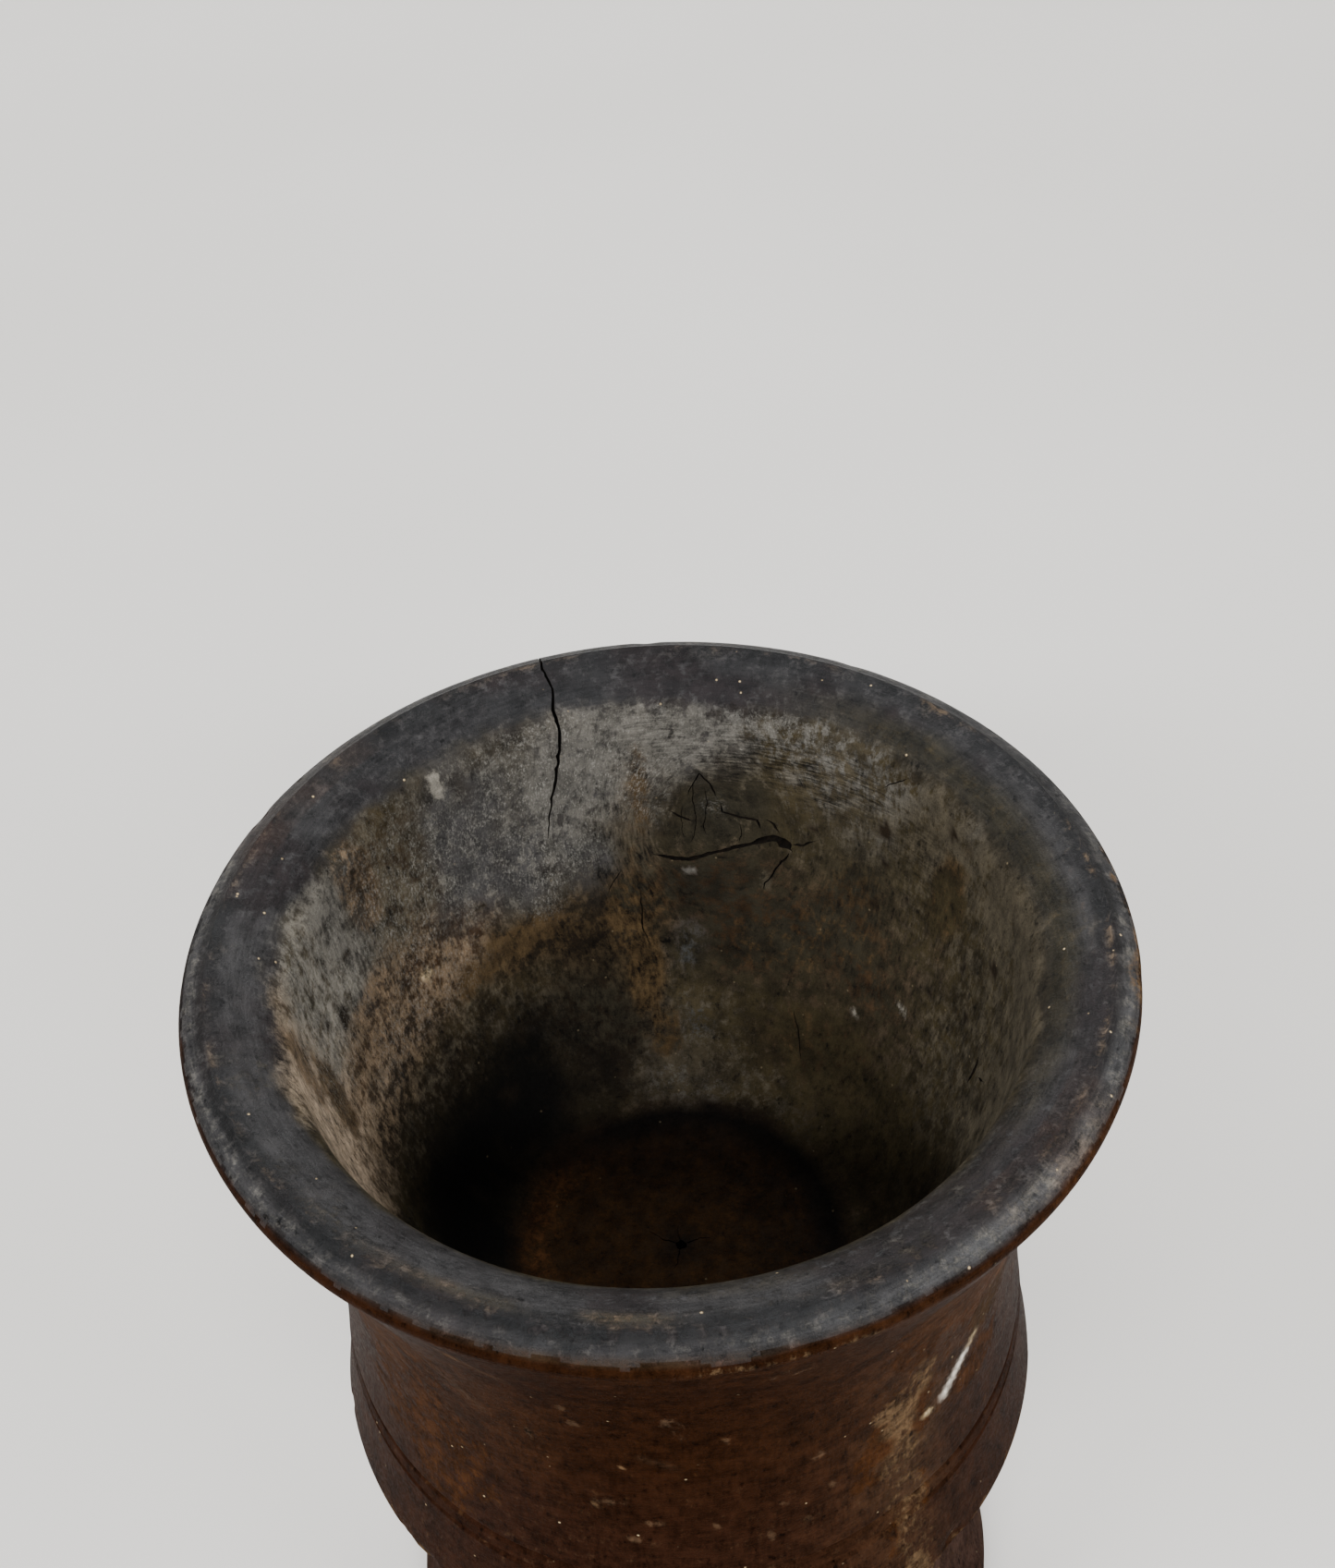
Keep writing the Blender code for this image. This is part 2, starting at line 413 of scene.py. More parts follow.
def hole_cutter(section, azimuth, arc, across, along, depth, seed):
    """A ragged pit: a cone with its point under the surface."""
    centre, normal = section.frame(azimuth, arc)
    side = np.cross(normal, (0, 0, 1.0)) if abs(normal[2]) < 0.9 else np.array([1.0, 0, 0])
    side /= np.linalg.norm(side)
    up = np.cross(side, normal)
    count = HOLE_SIDES
    turn = np.linspace(0, 2 * math.pi, count, endpoint=False)
    ragged = 1 + 0.28 * line_noise(turn * 1.7, seed)
    rim = np.outer(np.cos(turn) * across * ragged, side) + np.outer(np.sin(turn) * along * ragged, up)
    mouth = centre + normal * CRACK_LIFT + rim * 1.25
    middle = centre - normal * depth * 0.6 + rim * 0.6
    vertices = np.vstack([mouth, middle, [centre - normal * depth]])
    faces = [tuple(reversed(range(count)))]
    for i in range(count):
        j = (i + 1) % count
        faces.append((i, j, count + j, count + i))
        faces.append((count + i, count + j, 2 * count))
    return vertices, faces


def on_bowl(*points):
    """Route points (azimuth, depth, width) on the bowl's side, as (azimuth, arc, width)."""
    return [(azimuth, float(bowl_arc(depth)), width) for azimuth, depth, width in points]


def on_outside(*points):
    """Route points (azimuth, depth, width) on the outside, as (azimuth, arc, width)."""
    return [(azimuth, float(outer_arc(depth)), width) for azimuth, depth, width in points]


# The rim's crack, over the crest and down the outside, and the knot's
RIM_CRACK = (
    on_bowl((110.4, 26.5, 0.12), (108.6, 21.1, 0.3), (106.8, 16.4, 0.42), (105.4, 12.4, 0.6))
    + on_bowl((104.7, 8.3, 0.62), (104.2, 4.2, 0.5), (103.7, 2.1, 0.42), (103.9, 0.8, 0.4))
    + on_outside((104, 0.4, 0.45), (104, 3, 0.45), (104.4, 9, 0.35), (104.2, 15, 0.25), (104.8, 24, 0.12))
)
KNOT_CRACK = on_bowl(
    (89.7, 32.4, 0.4),
    (85, 33.5, 0.8),
    (82, 33.7, 0.9),
    (79, 32.9, 0.7),
    (73.5, 31.2, 0.7),
    (68.8, 29.4, 0.9),
    (64.6, 27.6, 1.3),
    (62.2, 27.9, 1.6),
    (60.5, 29.4, 1.1),
)

# Each crack: (route, depth)
CRACKS = (
    (RIM_CRACK, 3.2),
    (KNOT_CRACK, 2.0),
    (on_bowl((61.5, 28, 0.6), (58.5, 27.4, 0.45), (55.4, 25.5, 0.2)), 1.0),
    (on_bowl((60.8, 29.2, 0.6), (63.5, 32.5, 0.4), (65.5, 36, 0.3), (66.5, 38.5, 0.2)), 0.9),
    (on_bowl((86.7, 24, 0.35), (83.7, 25.7, 0.55), (80.1, 26.8, 0.4)), 1.0),
    (on_bowl((82.3, 22.5, 0.2), (79.9, 17.4, 0.4), (77.9, 19.2, 0.42), (75.9, 22.4, 0.45)), 1.0),
    (
        on_bowl((75.9, 22, 0.4), (75.5, 24.4, 0.6), (71.8, 25, 0.65), (68.5, 25, 0.65), (67.1, 27.2, 0.6)),
        1.1,
    ),
    (on_bowl((67.5, 24.3, 0.3), (64.9, 24.9, 0.5), (63, 27, 0.6)), 0.9),
    (on_bowl((80.3, 18, 0.2), (80.9, 22, 0.3), (80.4, 26, 0.24), (81.6, 31.5, 0.2)), 0.8),
    (on_bowl((78.9, 19, 0.18), (78.3, 23, 0.26), (79.0, 27, 0.3), (78.5, 30, 0.18)), 0.8),
    (on_bowl((83.0, 22.5, 0.16), (83.5, 26, 0.24), (82.6, 31, 0.2)), 0.7),
    (on_bowl((72, 25.2, 0.3), (71.4, 28, 0.3), (72.2, 30.8, 0.25)), 0.7),
    (on_bowl((-0.2, 32.9, 0.4), (-0.9, 36.4, 0.8), (-0.7, 40, 0.4)), 1.0),
    (on_bowl((-2.7, 35.6, 0.4), (-4.4, 34.6, 0.6), (-6.6, 33.2, 0.3)), 0.8),
    (on_bowl((95.7, 34.0, 0.15), (98, 36.4, 0.25), (100.3, 39.4, 0.12)), 0.6),
    (on_bowl((92.8, 38.2, 0.15), (93, 45.3, 0.28), (91.4, 50.6, 0.12)), 0.7),
    (on_bowl((55.5, 57, 0.15), (52.6, 61, 0.35), (49.4, 66, 0.15)), 0.6),
    (on_bowl((44.4, 11.5, 0.12), (41.5, 8.5, 0.25), (38.6, 6.4, 0.12)), 0.5),
)

# The checks in the heart of the wood, at the floor's centre: (azimuth, length, width)
HEART_CHECKS = ((12, 5.5, 0.22), (96, 4.0, 0.2), (150, 6.5, 0.25), (252, 5.0, 0.22))
CHECK_DEPTH = 0.9
CHECK_JITTER = 1.5

# Seeds of the first crack, the first check and the first drying crack of the pestle
CRACK_SEED = 60
CHECK_SEED = 90
PESTLE_CRACK_SEED = 401

# Pits in the mortar, in the knot and at the heart: (azimuth, arc, half width, half height, depth, seed)
PITS = ((62.4, float(bowl_arc(28.3)), 1.5, 0.9, 2.6, 73), (0, 0.01, 0.9, 0.9, 3.0, 77))


def end_checks(section, end_arc, inward, checks):
    """Small checks that run out from the heart of the wood where it meets the axis."""
    cutters = []
    for number, (azimuth, length, width) in enumerate(checks):
        steps = ((azimuth, 0.4, width), (azimuth + 5, length / 2, width * 0.7), (azimuth - 3, length, 0.1))
        route = [(turn, end_arc + inward * reach, wide) for turn, reach, wide in steps]
        cutters.append(crack_cutter(section, route, CHECK_DEPTH, CHECK_SEED + number, CHECK_JITTER))
    return cutters


def mortar_cutters():
    """The cracks, the pits and the checks in the bowl's floor."""
    cutters = []
    for number, (route, depth) in enumerate(CRACKS):
        cutters.append(crack_cutter(mortar_section, route, depth, CRACK_SEED + number))
    cutters += [hole_cutter(mortar_section, *pit) for pit in PITS]
    return cutters + end_checks(mortar_section, 0, 1, HEART_CHECKS)


def cut(obj, cutters, inner_material):
    """Cut every cutter out of the mesh; the cut faces take the inner material."""
    for number, (vertices, faces) in enumerate(cutters):
        mesh = bpy.data.meshes.new(f"{obj.name}_cutter_{number}")
        mesh.from_pydata(vertices.tolist(), [], faces)
        mesh.materials.append(inner_material)
        cutter = linked(mesh.name, mesh)
        removal = obj.modifiers.new(mesh.name, "BOOLEAN")
        removal.operation = "DIFFERENCE"
        removal.solver = "MANIFOLD"
        removal.material_mode = "TRANSFER"
        removal.object = cutter
        apply_modifiers(obj)
        bpy.data.objects.remove(cutter)


def apply_modifiers(obj):
    """Make the evaluated mesh the object's own."""
    evaluated = obj.evaluated_get(bpy.context.evaluated_depsgraph_get())
    result = bpy.data.meshes.new_from_object(evaluated)
    obj.modifiers.clear()
    old = obj.data
    obj.data = result
    bpy.data.meshes.remove(old)


def vertex_array(mesh):
    """The mesh's vertices as an array (n, 3)."""
    flat = np.empty(len(mesh.vertices) * 3)
    mesh.vertices.foreach_get("co", flat)
    return flat.reshape(-1, 3)


# ----- Painting the patina -----

COLOURS = {
    "pale": (0.150, 0.140, 0.120),
    "ash": (0.082, 0.078, 0.070),
    "steel": (0.047, 0.048, 0.050),
    "slate": (0.030, 0.029, 0.030),
    "stone": (0.044, 0.037, 0.025),
    "blue_grey": (0.036, 0.037, 0.036),
    "beige": (0.255, 0.200, 0.145),
    "tan": (0.105, 0.074, 0.046),
    "orange": (0.040, 0.0258, 0.0118),
    "rust": (0.026, 0.0125, 0.0045),
    "ember": (0.062, 0.026, 0.010),
    "brown": (0.022, 0.0128, 0.0062),
    "olive": (0.024, 0.0185, 0.0085),
    "moss": (0.0145, 0.0126, 0.0080),
    "umber": (0.0085, 0.0056, 0.0030),
    "near_black": (0.0032, 0.0028, 0.0024),
    "black": (0.0008, 0.0007, 0.0006),
    "frost": (0.28, 0.272, 0.25),
    "rim": (0.0070, 0.0069, 0.0074),
    "purple": (0.0085, 0.0056, 0.0058),
    "body": (0.0136, 0.0049, 0.0019),
    "amber": (0.031, 0.0122, 0.0044),
    "copper": (0.062, 0.028, 0.012),
    "haze": (0.045, 0.026, 0.015),
    "band": (0.0160, 0.0066, 0.0038),
    "foot": (0.040, 0.024, 0.019),
    "worn": (0.074, 0.046, 0.024),
    "cream": (0.42, 0.33, 0.20),
    "painted_glint_white": (0.75, 0.70, 0.62),
    "billet": (0.085, 0.038, 0.016),
    "honey": (0.118, 0.058, 0.026),
}

# Regions of the bowl: (azimuth, depth, half width, half height, ground, mottle, coverage, strength)
BOWL_REGIONS = (
    (62, 8, 36, 7, "olive", "ash", 0.5, 0.85),
    (18, 10, 24, 9, "olive", "stone", 0.8, 0.9),
    (-12, 22, 16, 24, "olive", "stone", 0.8, 0.85),
    (14, 36, 22, 18, "olive", "stone", 0.5, 0.8),
    (46, 30, 12, 14, "moss", "olive", 0.5, 0.8),
    (62, 43, 26, 15, "moss", "rust", 0.45, 0.9),
    (52, 14, 9, 9, "stone", "ash", 0.4, 0.8),
    (86, 11, 13, 9, "slate", "ash", 0.7, 0.9),
    (104, 14, 15, 13, "slate", "ash", 0.72, 0.95),
    (113, 27, 10, 9, "slate", "ash", 0.5, 0.9),
    (101, 33, 6, 6, "slate", "blue_grey", 0.5, 0.9),
    (126, 20, 11, 20, "slate", "ash", 0.3, 0.95),
    (146, 20, 9, 18, "brown", "stone", 0.72, 0.9),
    (160, 17, 9, 18, "slate", "ash", 0.72, 0.9),
    (174, 16, 13, 15, "stone", "pale", 0.6, 0.95),
    (-166, 22, 13, 20, "tan", "beige", 0.88, 0.95),
    (-174, 34, 14, 9, "tan", "beige", 0.66, 0.9),
    (156, 37, 20, 9, "brown", "tan", 0.55, 0.9),
    (136, 37, 9, 7, "rust", "tan", 0.5, 0.9),
    (172, 44, 22, 5, "umber", "tan", 0.5, 0.8),
    (116, 43, 14, 6, "umber", "orange", 0.55, 0.9),
    (104, 50, 10, 12, "umber", "orange", 0.35, 0.85),
    (76, 26, 10, 10, "moss", "stone", 0.22, 1.0),
    (78, 38, 14, 6, "moss", "brown", 0.4, 0.9),
    (94, 52, 5, 18, "moss", "orange", 0.6, 0.85),
    (93, 27, 3, 10, "stone", "orange", 0.4, 0.6),
    (82, 50, 4, 6, "moss", "blue_grey", 0.45, 0.7),
    (84, 66, 9, 8, "stone", "ash", 0.3, 0.9),
    (64, 63, 12, 10, "olive", "stone", 0.35, 0.85),
    (40, 61, 14, 10, "olive", "rust", 0.3, 0.8),
    (14, 63, 20, 10, "olive", "umber", 0.3, 0.8),
    (-20, 54, 12, 14, "umber", "olive", 0.3, 0.7),
    # The next two darken the floor's corner at the right and back right: painted shadow
    (0, 72, 14, 4, "umber", "rust", 0.3, 0.7),
    (30, 76, 14, 2, "umber", "near_black", 0.4, 0.7),
    # The next five paint the shadow that the near rim casts on the lower left wall and the floor's edge, in
    # umber and near-black
    (108, 60, 14, 12, "umber", "moss", 0.6, 0.95),
    (131, 67, 14, 12, "black", "near_black", 0.4, 0.95),
    (152, 51, 20, 7, "umber", "stone", 0.5, 0.95),
    (158, 68, 27, 11, "black", "umber", 0.1, 1.0),
    (179, 66, 22, 13, "black", "umber", 0.12, 1.0),
)

# Smaller marks in the bowl, on the ground that is already there: (.., mottle, coverage)
BOWL_PATCHES = (
    (-171, 13, 3, 9, "tan", 0.6),
    (-176, 26, 3, 10, "orange", 0.5),
    (158, 31, 8, 5, "tan", 0.55),
    (151, 12, 4, 8, "tan", 0.4),
    (139, 38, 5, 6, "tan", 0.6),
    (133, 43, 5, 3, "orange", 0.7),
    (120, 41, 9, 3, "orange", 0.7),
    (97, 44, 3, 6, "orange", 0.6),
    (93, 54, 3.4, 9, "orange", 0.75),
    (89, 65, 3.0, 5, "orange", 0.55),
    (91, 21, 1.6, 9, "orange", 0.6),
    (83, 51, 1.6, 2.6, "blue_grey", 0.55),
    (80, 63, 2.2, 3, "blue_grey", 0.45),
    (76, 69, 5, 3, "stone", 0.4),
    (82, 36, 1.2, 1.0, "ash", 0.8),
    (66, 36, 1.2, 2.4, "stone", 0.7),
    (62, 47, 7, 4, "orange", 0.35),
    (46, 41, 8, 4, "orange", 0.35),
    (52, 62, 3, 6, "orange", 0.4),
    (24, 21, 4, 10, "orange", 0.35),
    (128.5, 7.5, 1.2, 2.4, "pale", 0.9),
    (39.4, 51.8, 1.5, 0.6, "pale", 0.8),
    (27.5, 45.2, 1.4, 0.5, "pale", 0.7),
    (133, 24, 0.7, 0.7, "pale", 0.9),
    (144, 36, 1.0, 0.9, "cream", 0.7),
)

# Dark round spots in the bowl: (azimuth, depth, radius)
BOWL_SPOTS = (
    (42, 18, 1.7),
    (41, 32, 1.2),
    (41, 24, 0.9),
    (6, 21, 1.7),
    (9, 33.5, 1.3),
    (27, 10, 1.1),
    (34, 27, 0.8),
    (168, 25, 2.0),
    (160, 19, 1.3),
    (174, 21, 1.2),
    (151, 10, 1.4),
    (127, 32, 1.2),
    (22, 38, 1.0),
    (15, 28, 1.0),
    (-9, 37, 1.0),
    (57, 24, 0.8),
)

# Regions of the outside: (azimuth, depth, half width, half height, ground, mottle, coverage, strength)
OUTSIDE_REGIONS = (
    # The first two lay amber on the body's front right and front left: partly the lacquer's warmer tone,
    # partly painted sheen for the brighter sides
    (-42, 25, 13, 24, "amber", "copper", 0.75, 0.9),
    (-136, 14, 12, 7, "amber", "copper", 0.35, 0.6),
    (150, 30, 16, 22, "amber", "copper", 0.25, 0.6),
    (40, 62, 18, 14, "amber", "rust", 0.4, 0.6),
)

# Crisp patches on the outside
OUTSIDE_PATCHES = (
    (-57, 34, 5, 10, "amber", 0.6),
    (-57, 55, 7, 14, "amber", 0.75),
    (-56, 84, 5, 16, "amber", 0.6),
    (-54.5, 46, 3.4, 5, "worn", 0.52),
    (-57.5, 51, 4.4, 4, "worn", 0.56),
    (-58.5, 58, 3.4, 5, "worn", 0.66),
    (-57, 66, 4.4, 6, "worn", 0.4),
    (-57, 76, 4.6, 6, "worn", 0.36),
    (-55.5, 88, 3.6, 6, "worn", 0.34),
    (-56, 96, 3.6, 3.4, "worn", 0.6),
    (-63, 60, 4, 4, "amber", 0.85),
    (-65, 66, 3, 3, "amber", 0.7),
    (-62, 50, 2.2, 2.2, "worn", 0.5),
    (-52, 59, 1.2, 0.8, "cream", 0.6),
    (-39, 60, 9, 6, "amber", 0.7),
    (-44, 34, 5, 14, "amber", 0.6),
    (-38, 47, 5, 8, "rust", 0.7),
    # Amber down the front left: partly painted sheen
    (-138, 38, 8, 20, "amber", 0.5),
    (-106, 59.8, 0.8, 0.7, "worn", 0.9),
    (-101.4, 47.3, 0.7, 0.6, "worn", 0.8),
    (-86, 39.8, 1.0, 0.9, "haze", 1.0),
    (-106.3, 34, 0.8, 1.2, "haze", 0.9),
    (-107, 28, 0.9, 1.6, "haze", 0.8),
    (-117, 12, 1.2, 4, "haze", 0.7),
    (-114, 42, 1.0, 2.4, "haze", 0.6),
    (-93, 33, 2.6, 6, "haze", 0.4),
    (-79, 12, 5, 3, "haze", 0.35),
    (-103, 58, 3.6, 1.0, "haze", 0.6),
    (-97, 63.4, 1.8, 0.8, "haze", 0.7),
    (-100.5, 68.3, 1.2, 0.8, "haze", 0.8),
    (-88, 64, 0.8, 0.8, "haze", 0.9),
    (-80, 69.6, 0.8, 0.8, "haze", 0.9),
    (-74, 68.4, 1.0, 0.8, "haze", 0.9),
    (-72, 52, 1.6, 0.9, "haze", 0.7),
    (-70, 61.6, 0.9, 0.8, "haze", 0.8),
    (-77.6, 62, 0.8, 0.6, "haze", 0.8),
    (-148, 60, 4, 1.6, "haze", 0.6),
    (-84, 3.6, 9, 0.8, "worn", 0.4),
    (-72, 3.8, 5, 0.8, "worn", 0.4),
    (-12, 2.6, 12, 1.3, "worn", 0.5),
    (4, 2.2, 8, 1.0, "worn", 0.4),
    # Broad amber on the front left and front right: partly the lacquer's own tone, partly painted sheen for
    # the brighter sides
    (-142, 32, 15, 17, "amber", 0.7),
    (-136, 58, 12, 20, "amber", 0.55),
    (-52, 24, 14, 13, "amber", 0.7),
    (60, 30, 8, 14, "amber", 0.6),
    (110, 60, 10, 9, "amber", 0.6),
    (160, 45, 9, 12, "amber", 0.5),
    (20, 55, 8, 8, "rust", 0.6),
    (132, 92, 7, 4, "rust", 0.6),
    (70, 140, 9, 12, "worn", 0.35),
    (-30, 150, 8, 12, "worn", 0.35),
    (-110, 160, 10, 9, "worn", 0.4),
    (170, 170, 12, 7, "worn", 0.4),
)

# Scratches on the outside, the first two a painted glint on the right front: (start azimuth and depth, end
# azimuth and depth, half width, paint, strength)
OUTSIDE_STREAKS = (
    # A painted glint: a white streak and its cream tail stand for a highlight on a scraped spot in the
    # lacquer
    (-48.2, 58.8, -43.6, 53.4, 0.72, "painted_glint_white", 0.9),
    (-42.4, 52.2, -41.2, 50.8, 0.6, "cream", 0.6),
    (-119, 8, -113, 20, 0.7, "haze", 0.4),
    (-128, 30, -121, 40, 0.7, "haze", 0.35),
    (-98, 44, -93.5, 47, 0.6, "haze", 0.35),
)

# Where each kind of texture shows in the bowl: (azimuth, depth, half width, half height, strength)
FROST_ZONES = (
    (105, 14, 22, 13, 0.9),
    (113, 28, 13, 10, 0.8),
    (70, 10, 18, 5, 0.5),
    (140, 20, 18, 18, 0.6),
    (172, 18, 18, 16, 0.6),
    (150, 38, 20, 7, 0.35),
)
LATHE_ZONES = ((66, 13, 16, 6, 1.0), (50, 15, 9, 7, 0.8), (88, 10, 8, 5, 0.6), (32, 20, 8, 10, 0.4))
FIBRE_ZONES = (
    (160, 26, 28, 24, 0.65),
    (-165, 22, 16, 26, 0.6),
    (94, 40, 9, 30, 0.8),
    (20, 40, 28, 28, 0.4),
    (77, 26, 9, 9, 0.3),
    (130, 55, 24, 14, 0.5),
)

# Seeds of the noise: the bowl, the rim and the outside start their own, and every layer steps on from there
FIRST_SEED = 200
RIM_SEED = 1200
OUTSIDE_SEED = 1600
SEED_STEP = 7


class Patina:
    """The vertices of a turned mesh, with the paints that are being laid on them.

    Two paints lie on every vertex, a ground and a mottle; the shader breaks the mottle up by its coverage.
    """

    def __init__(self, mesh, section, ground, mottle, coverage):
        self.place = vertex_array(mesh)
        self.azimuth = np.degrees(np.arctan2(self.place[:, 1], self.place[:, 0]))
        self.radius = np.hypot(self.place[:, 0], self.place[:, 1])
        self.depth = -self.place[:, 2]
        self.arc = section.nearest_arc(self.radius, self.depth)
        self.all = np.arange(len(self.place))
        self.ground = np.tile(np.array(COLOURS[ground]), (len(self.place), 1))
        self.mottle = np.tile(np.array(COLOURS[mottle]), (len(self.place), 1))
        self.coverage = np.full(len(self.place), coverage)
        self.seed = FIRST_SEED

    def noise(self, size, octaves=3, chosen=slice(None)):
        """A new layer of noise over some of the vertices."""
        self.seed += SEED_STEP
        return fractal_noise(self.place[chosen], size, self.seed, octaves)

    def turn(self, azimuth):
        """Degrees from an azimuth to each vertex, the short way round."""
        return wrapped(self.azimuth, azimuth)

    def across(self, azimuth):
        """Distance around the axis from an azimuth to each vertex."""
        return np.radians(self.turn(azimuth)) * self.radius

    def near(self, side, azimuth, depth, half_width, half_height):
        """The vertices in an oval on one side of the crest, and how far each is from its centre."""
        across = self.across(azimuth) / half_width
        gap = np.hypot(across, (self.depth - depth) / half_height)
        chosen = np.flatnonzero((gap < 2.2) & ((self.arc - CREST_ARC) * side > -3))
        return chosen, gap[chosen]

    def lay(self, weight, ground=None, mottle=None, coverage=None, chosen=None):
        """Lay paints over some vertices, each by its weight."""
        chosen = self.all if chosen is None else chosen
        weight = np.asarray(weight)
        if ground:
            self.ground[chosen] += (np.array(COLOURS[ground]) - self.ground[chosen]) * weight[:, None]
        if mottle:
            self.mottle[chosen] += (np.array(COLOURS[mottle]) - self.mottle[chosen]) * weight[:, None]
        if coverage is not None:
            self.coverage[chosen] += (coverage - self.coverage[chosen]) * weight

    def region(self, side, azimuth, depth, half_width, half_height, ground, mottle, coverage, strength):
        """A soft region with a ragged edge."""
        chosen, gap = self.near(side, azimuth, depth, half_width, half_height)
        ragged = self.noise(min(half_width, half_height) * 0.9, 5, chosen)
        weight = strength * ramp(1 - gap + 0.9 * ragged, -0.5, 0.8)
        self.lay(weight, ground, mottle, coverage, chosen)

    def patch(self, side, azimuth, depth, half_width, half_height, mottle, coverage):
        """A small crisp mark."""
        chosen, gap = self.near(side, azimuth, depth, half_width, half_height)
        ragged = self.noise(min(half_width, half_height) * 0.8, 4, chosen)
        weight = ramp(1 - gap + 0.6 * ragged, -0.15, 0.45)
        self.lay(np.minimum(1, 1.6 * weight), mottle=mottle, chosen=chosen)
        self.lay(weight, coverage=coverage, chosen=chosen)

    def streak(self, side, start, start_depth, end, end_depth, half_width, paint, strength):
        """A thin straight streak of paint between two points (azimuth, depth) on one side of the crest;
        used for scratches and for a painted glint.
        """
        across = self.across((start + end) / 2)
        reach = np.radians(end - start) * self.radius / 2
        drop = (end_depth - start_depth) / 2
        down = self.depth - (start_depth + end_depth) / 2
        along = np.clip((across * reach + down * drop) / (reach**2 + drop**2), -1, 1)
        gap = np.hypot(across - along * reach, down - along * drop)
        weight = strength * bump(gap, 1.5 * half_width) * ((self.arc - CREST_ARC) * side > 0)
        self.lay(weight, paint, paint)

    def zones(self, spots):
        """The strongest of several soft ovals in the bowl, at each vertex."""
        total = np.zeros(len(self.place))
        for azimuth, depth, half_width, half_height, strength in spots:
            chosen, gap = self.near(-1, azimuth, depth, half_width, half_height)
            ragged = self.noise(6, 3, chosen)
            total[chosen] = np.maximum(total[chosen], strength * ramp(1 - gap + 0.5 * ragged, -0.3, 0.6))
        return total

    def store(self, mesh, textures):
        """Store the paints, and the strength of each kind of texture, as attributes of the mesh."""
        for name, paint in (("ground", self.ground), ("mottle", self.mottle)):
            layer = mesh.color_attributes.new(name, "FLOAT_COLOR", "POINT")
            opaque = np.ones((len(paint), 1))
            layer.data.foreach_set("color", np.concatenate([np.clip(paint, 0, 1), opaque], axis=1).ravel())
        for name, strength in {"coverage": self.coverage, **textures}.items():
            layer = mesh.attributes.new(name, "FLOAT", "POINT")
            layer.data.foreach_set("value", np.ascontiguousarray(np.clip(strength, 0, 1)))


def paint_bowl(patina):
    """The bowl: cool and pale at the back left, olive at the right, painted shadow below and a reddish
    floor.
    """
    medium, fine = patina.noise(8), patina.noise(2.4)
    for spot in BOWL_REGIONS:
        patina.region(-1, *spot)
    patina.lay(0.6 * ramp(-medium - 0.5 * fine, 0.1, 0.7), ground="umber")
    for spot in BOWL_PATCHES:
        patina.patch(-1, *spot)
    for azimuth, depth, spot_radius in BOWL_SPOTS:
        patina.patch(-1, azimuth, depth, spot_radius, spot_radius, "umber", 1.0)

    on_floor = ramp(patina.arc + 0.8 * medium, 28.3, 26.8)
    patina.lay(on_floor, "umber", "rust", 0.45)
    patina.lay(0.55 * on_floor, ground="rust")
    left_edge = bump(patina.turn(170), 60) * bump(patina.arc - 23.5 - 1.5 * medium, 3.2)
    patina.lay(0.9 * on_floor * left_edge, "rust", "ember", 0.55)
    patina.lay(0.9 * bump(patina.arc, 3.4), "near_black", "umber", 0.3)
    # The far side of the floor is laid darker, near-black at its edge against the wall: painted shadow
    # where the rim shades the floor
    far = ramp(patina.turn(50), -100, -50) * ramp(patina.turn(50), 100, 60)
    patina.lay(0.5 * on_floor * far * ramp(patina.arc + 4 * medium, 8, 18), "near_black", "umber", 0.5)
    patina.lay(0.9 * on_floor * far * ramp(patina.arc + medium, 21, 25), "black", "near_black", 0.3)


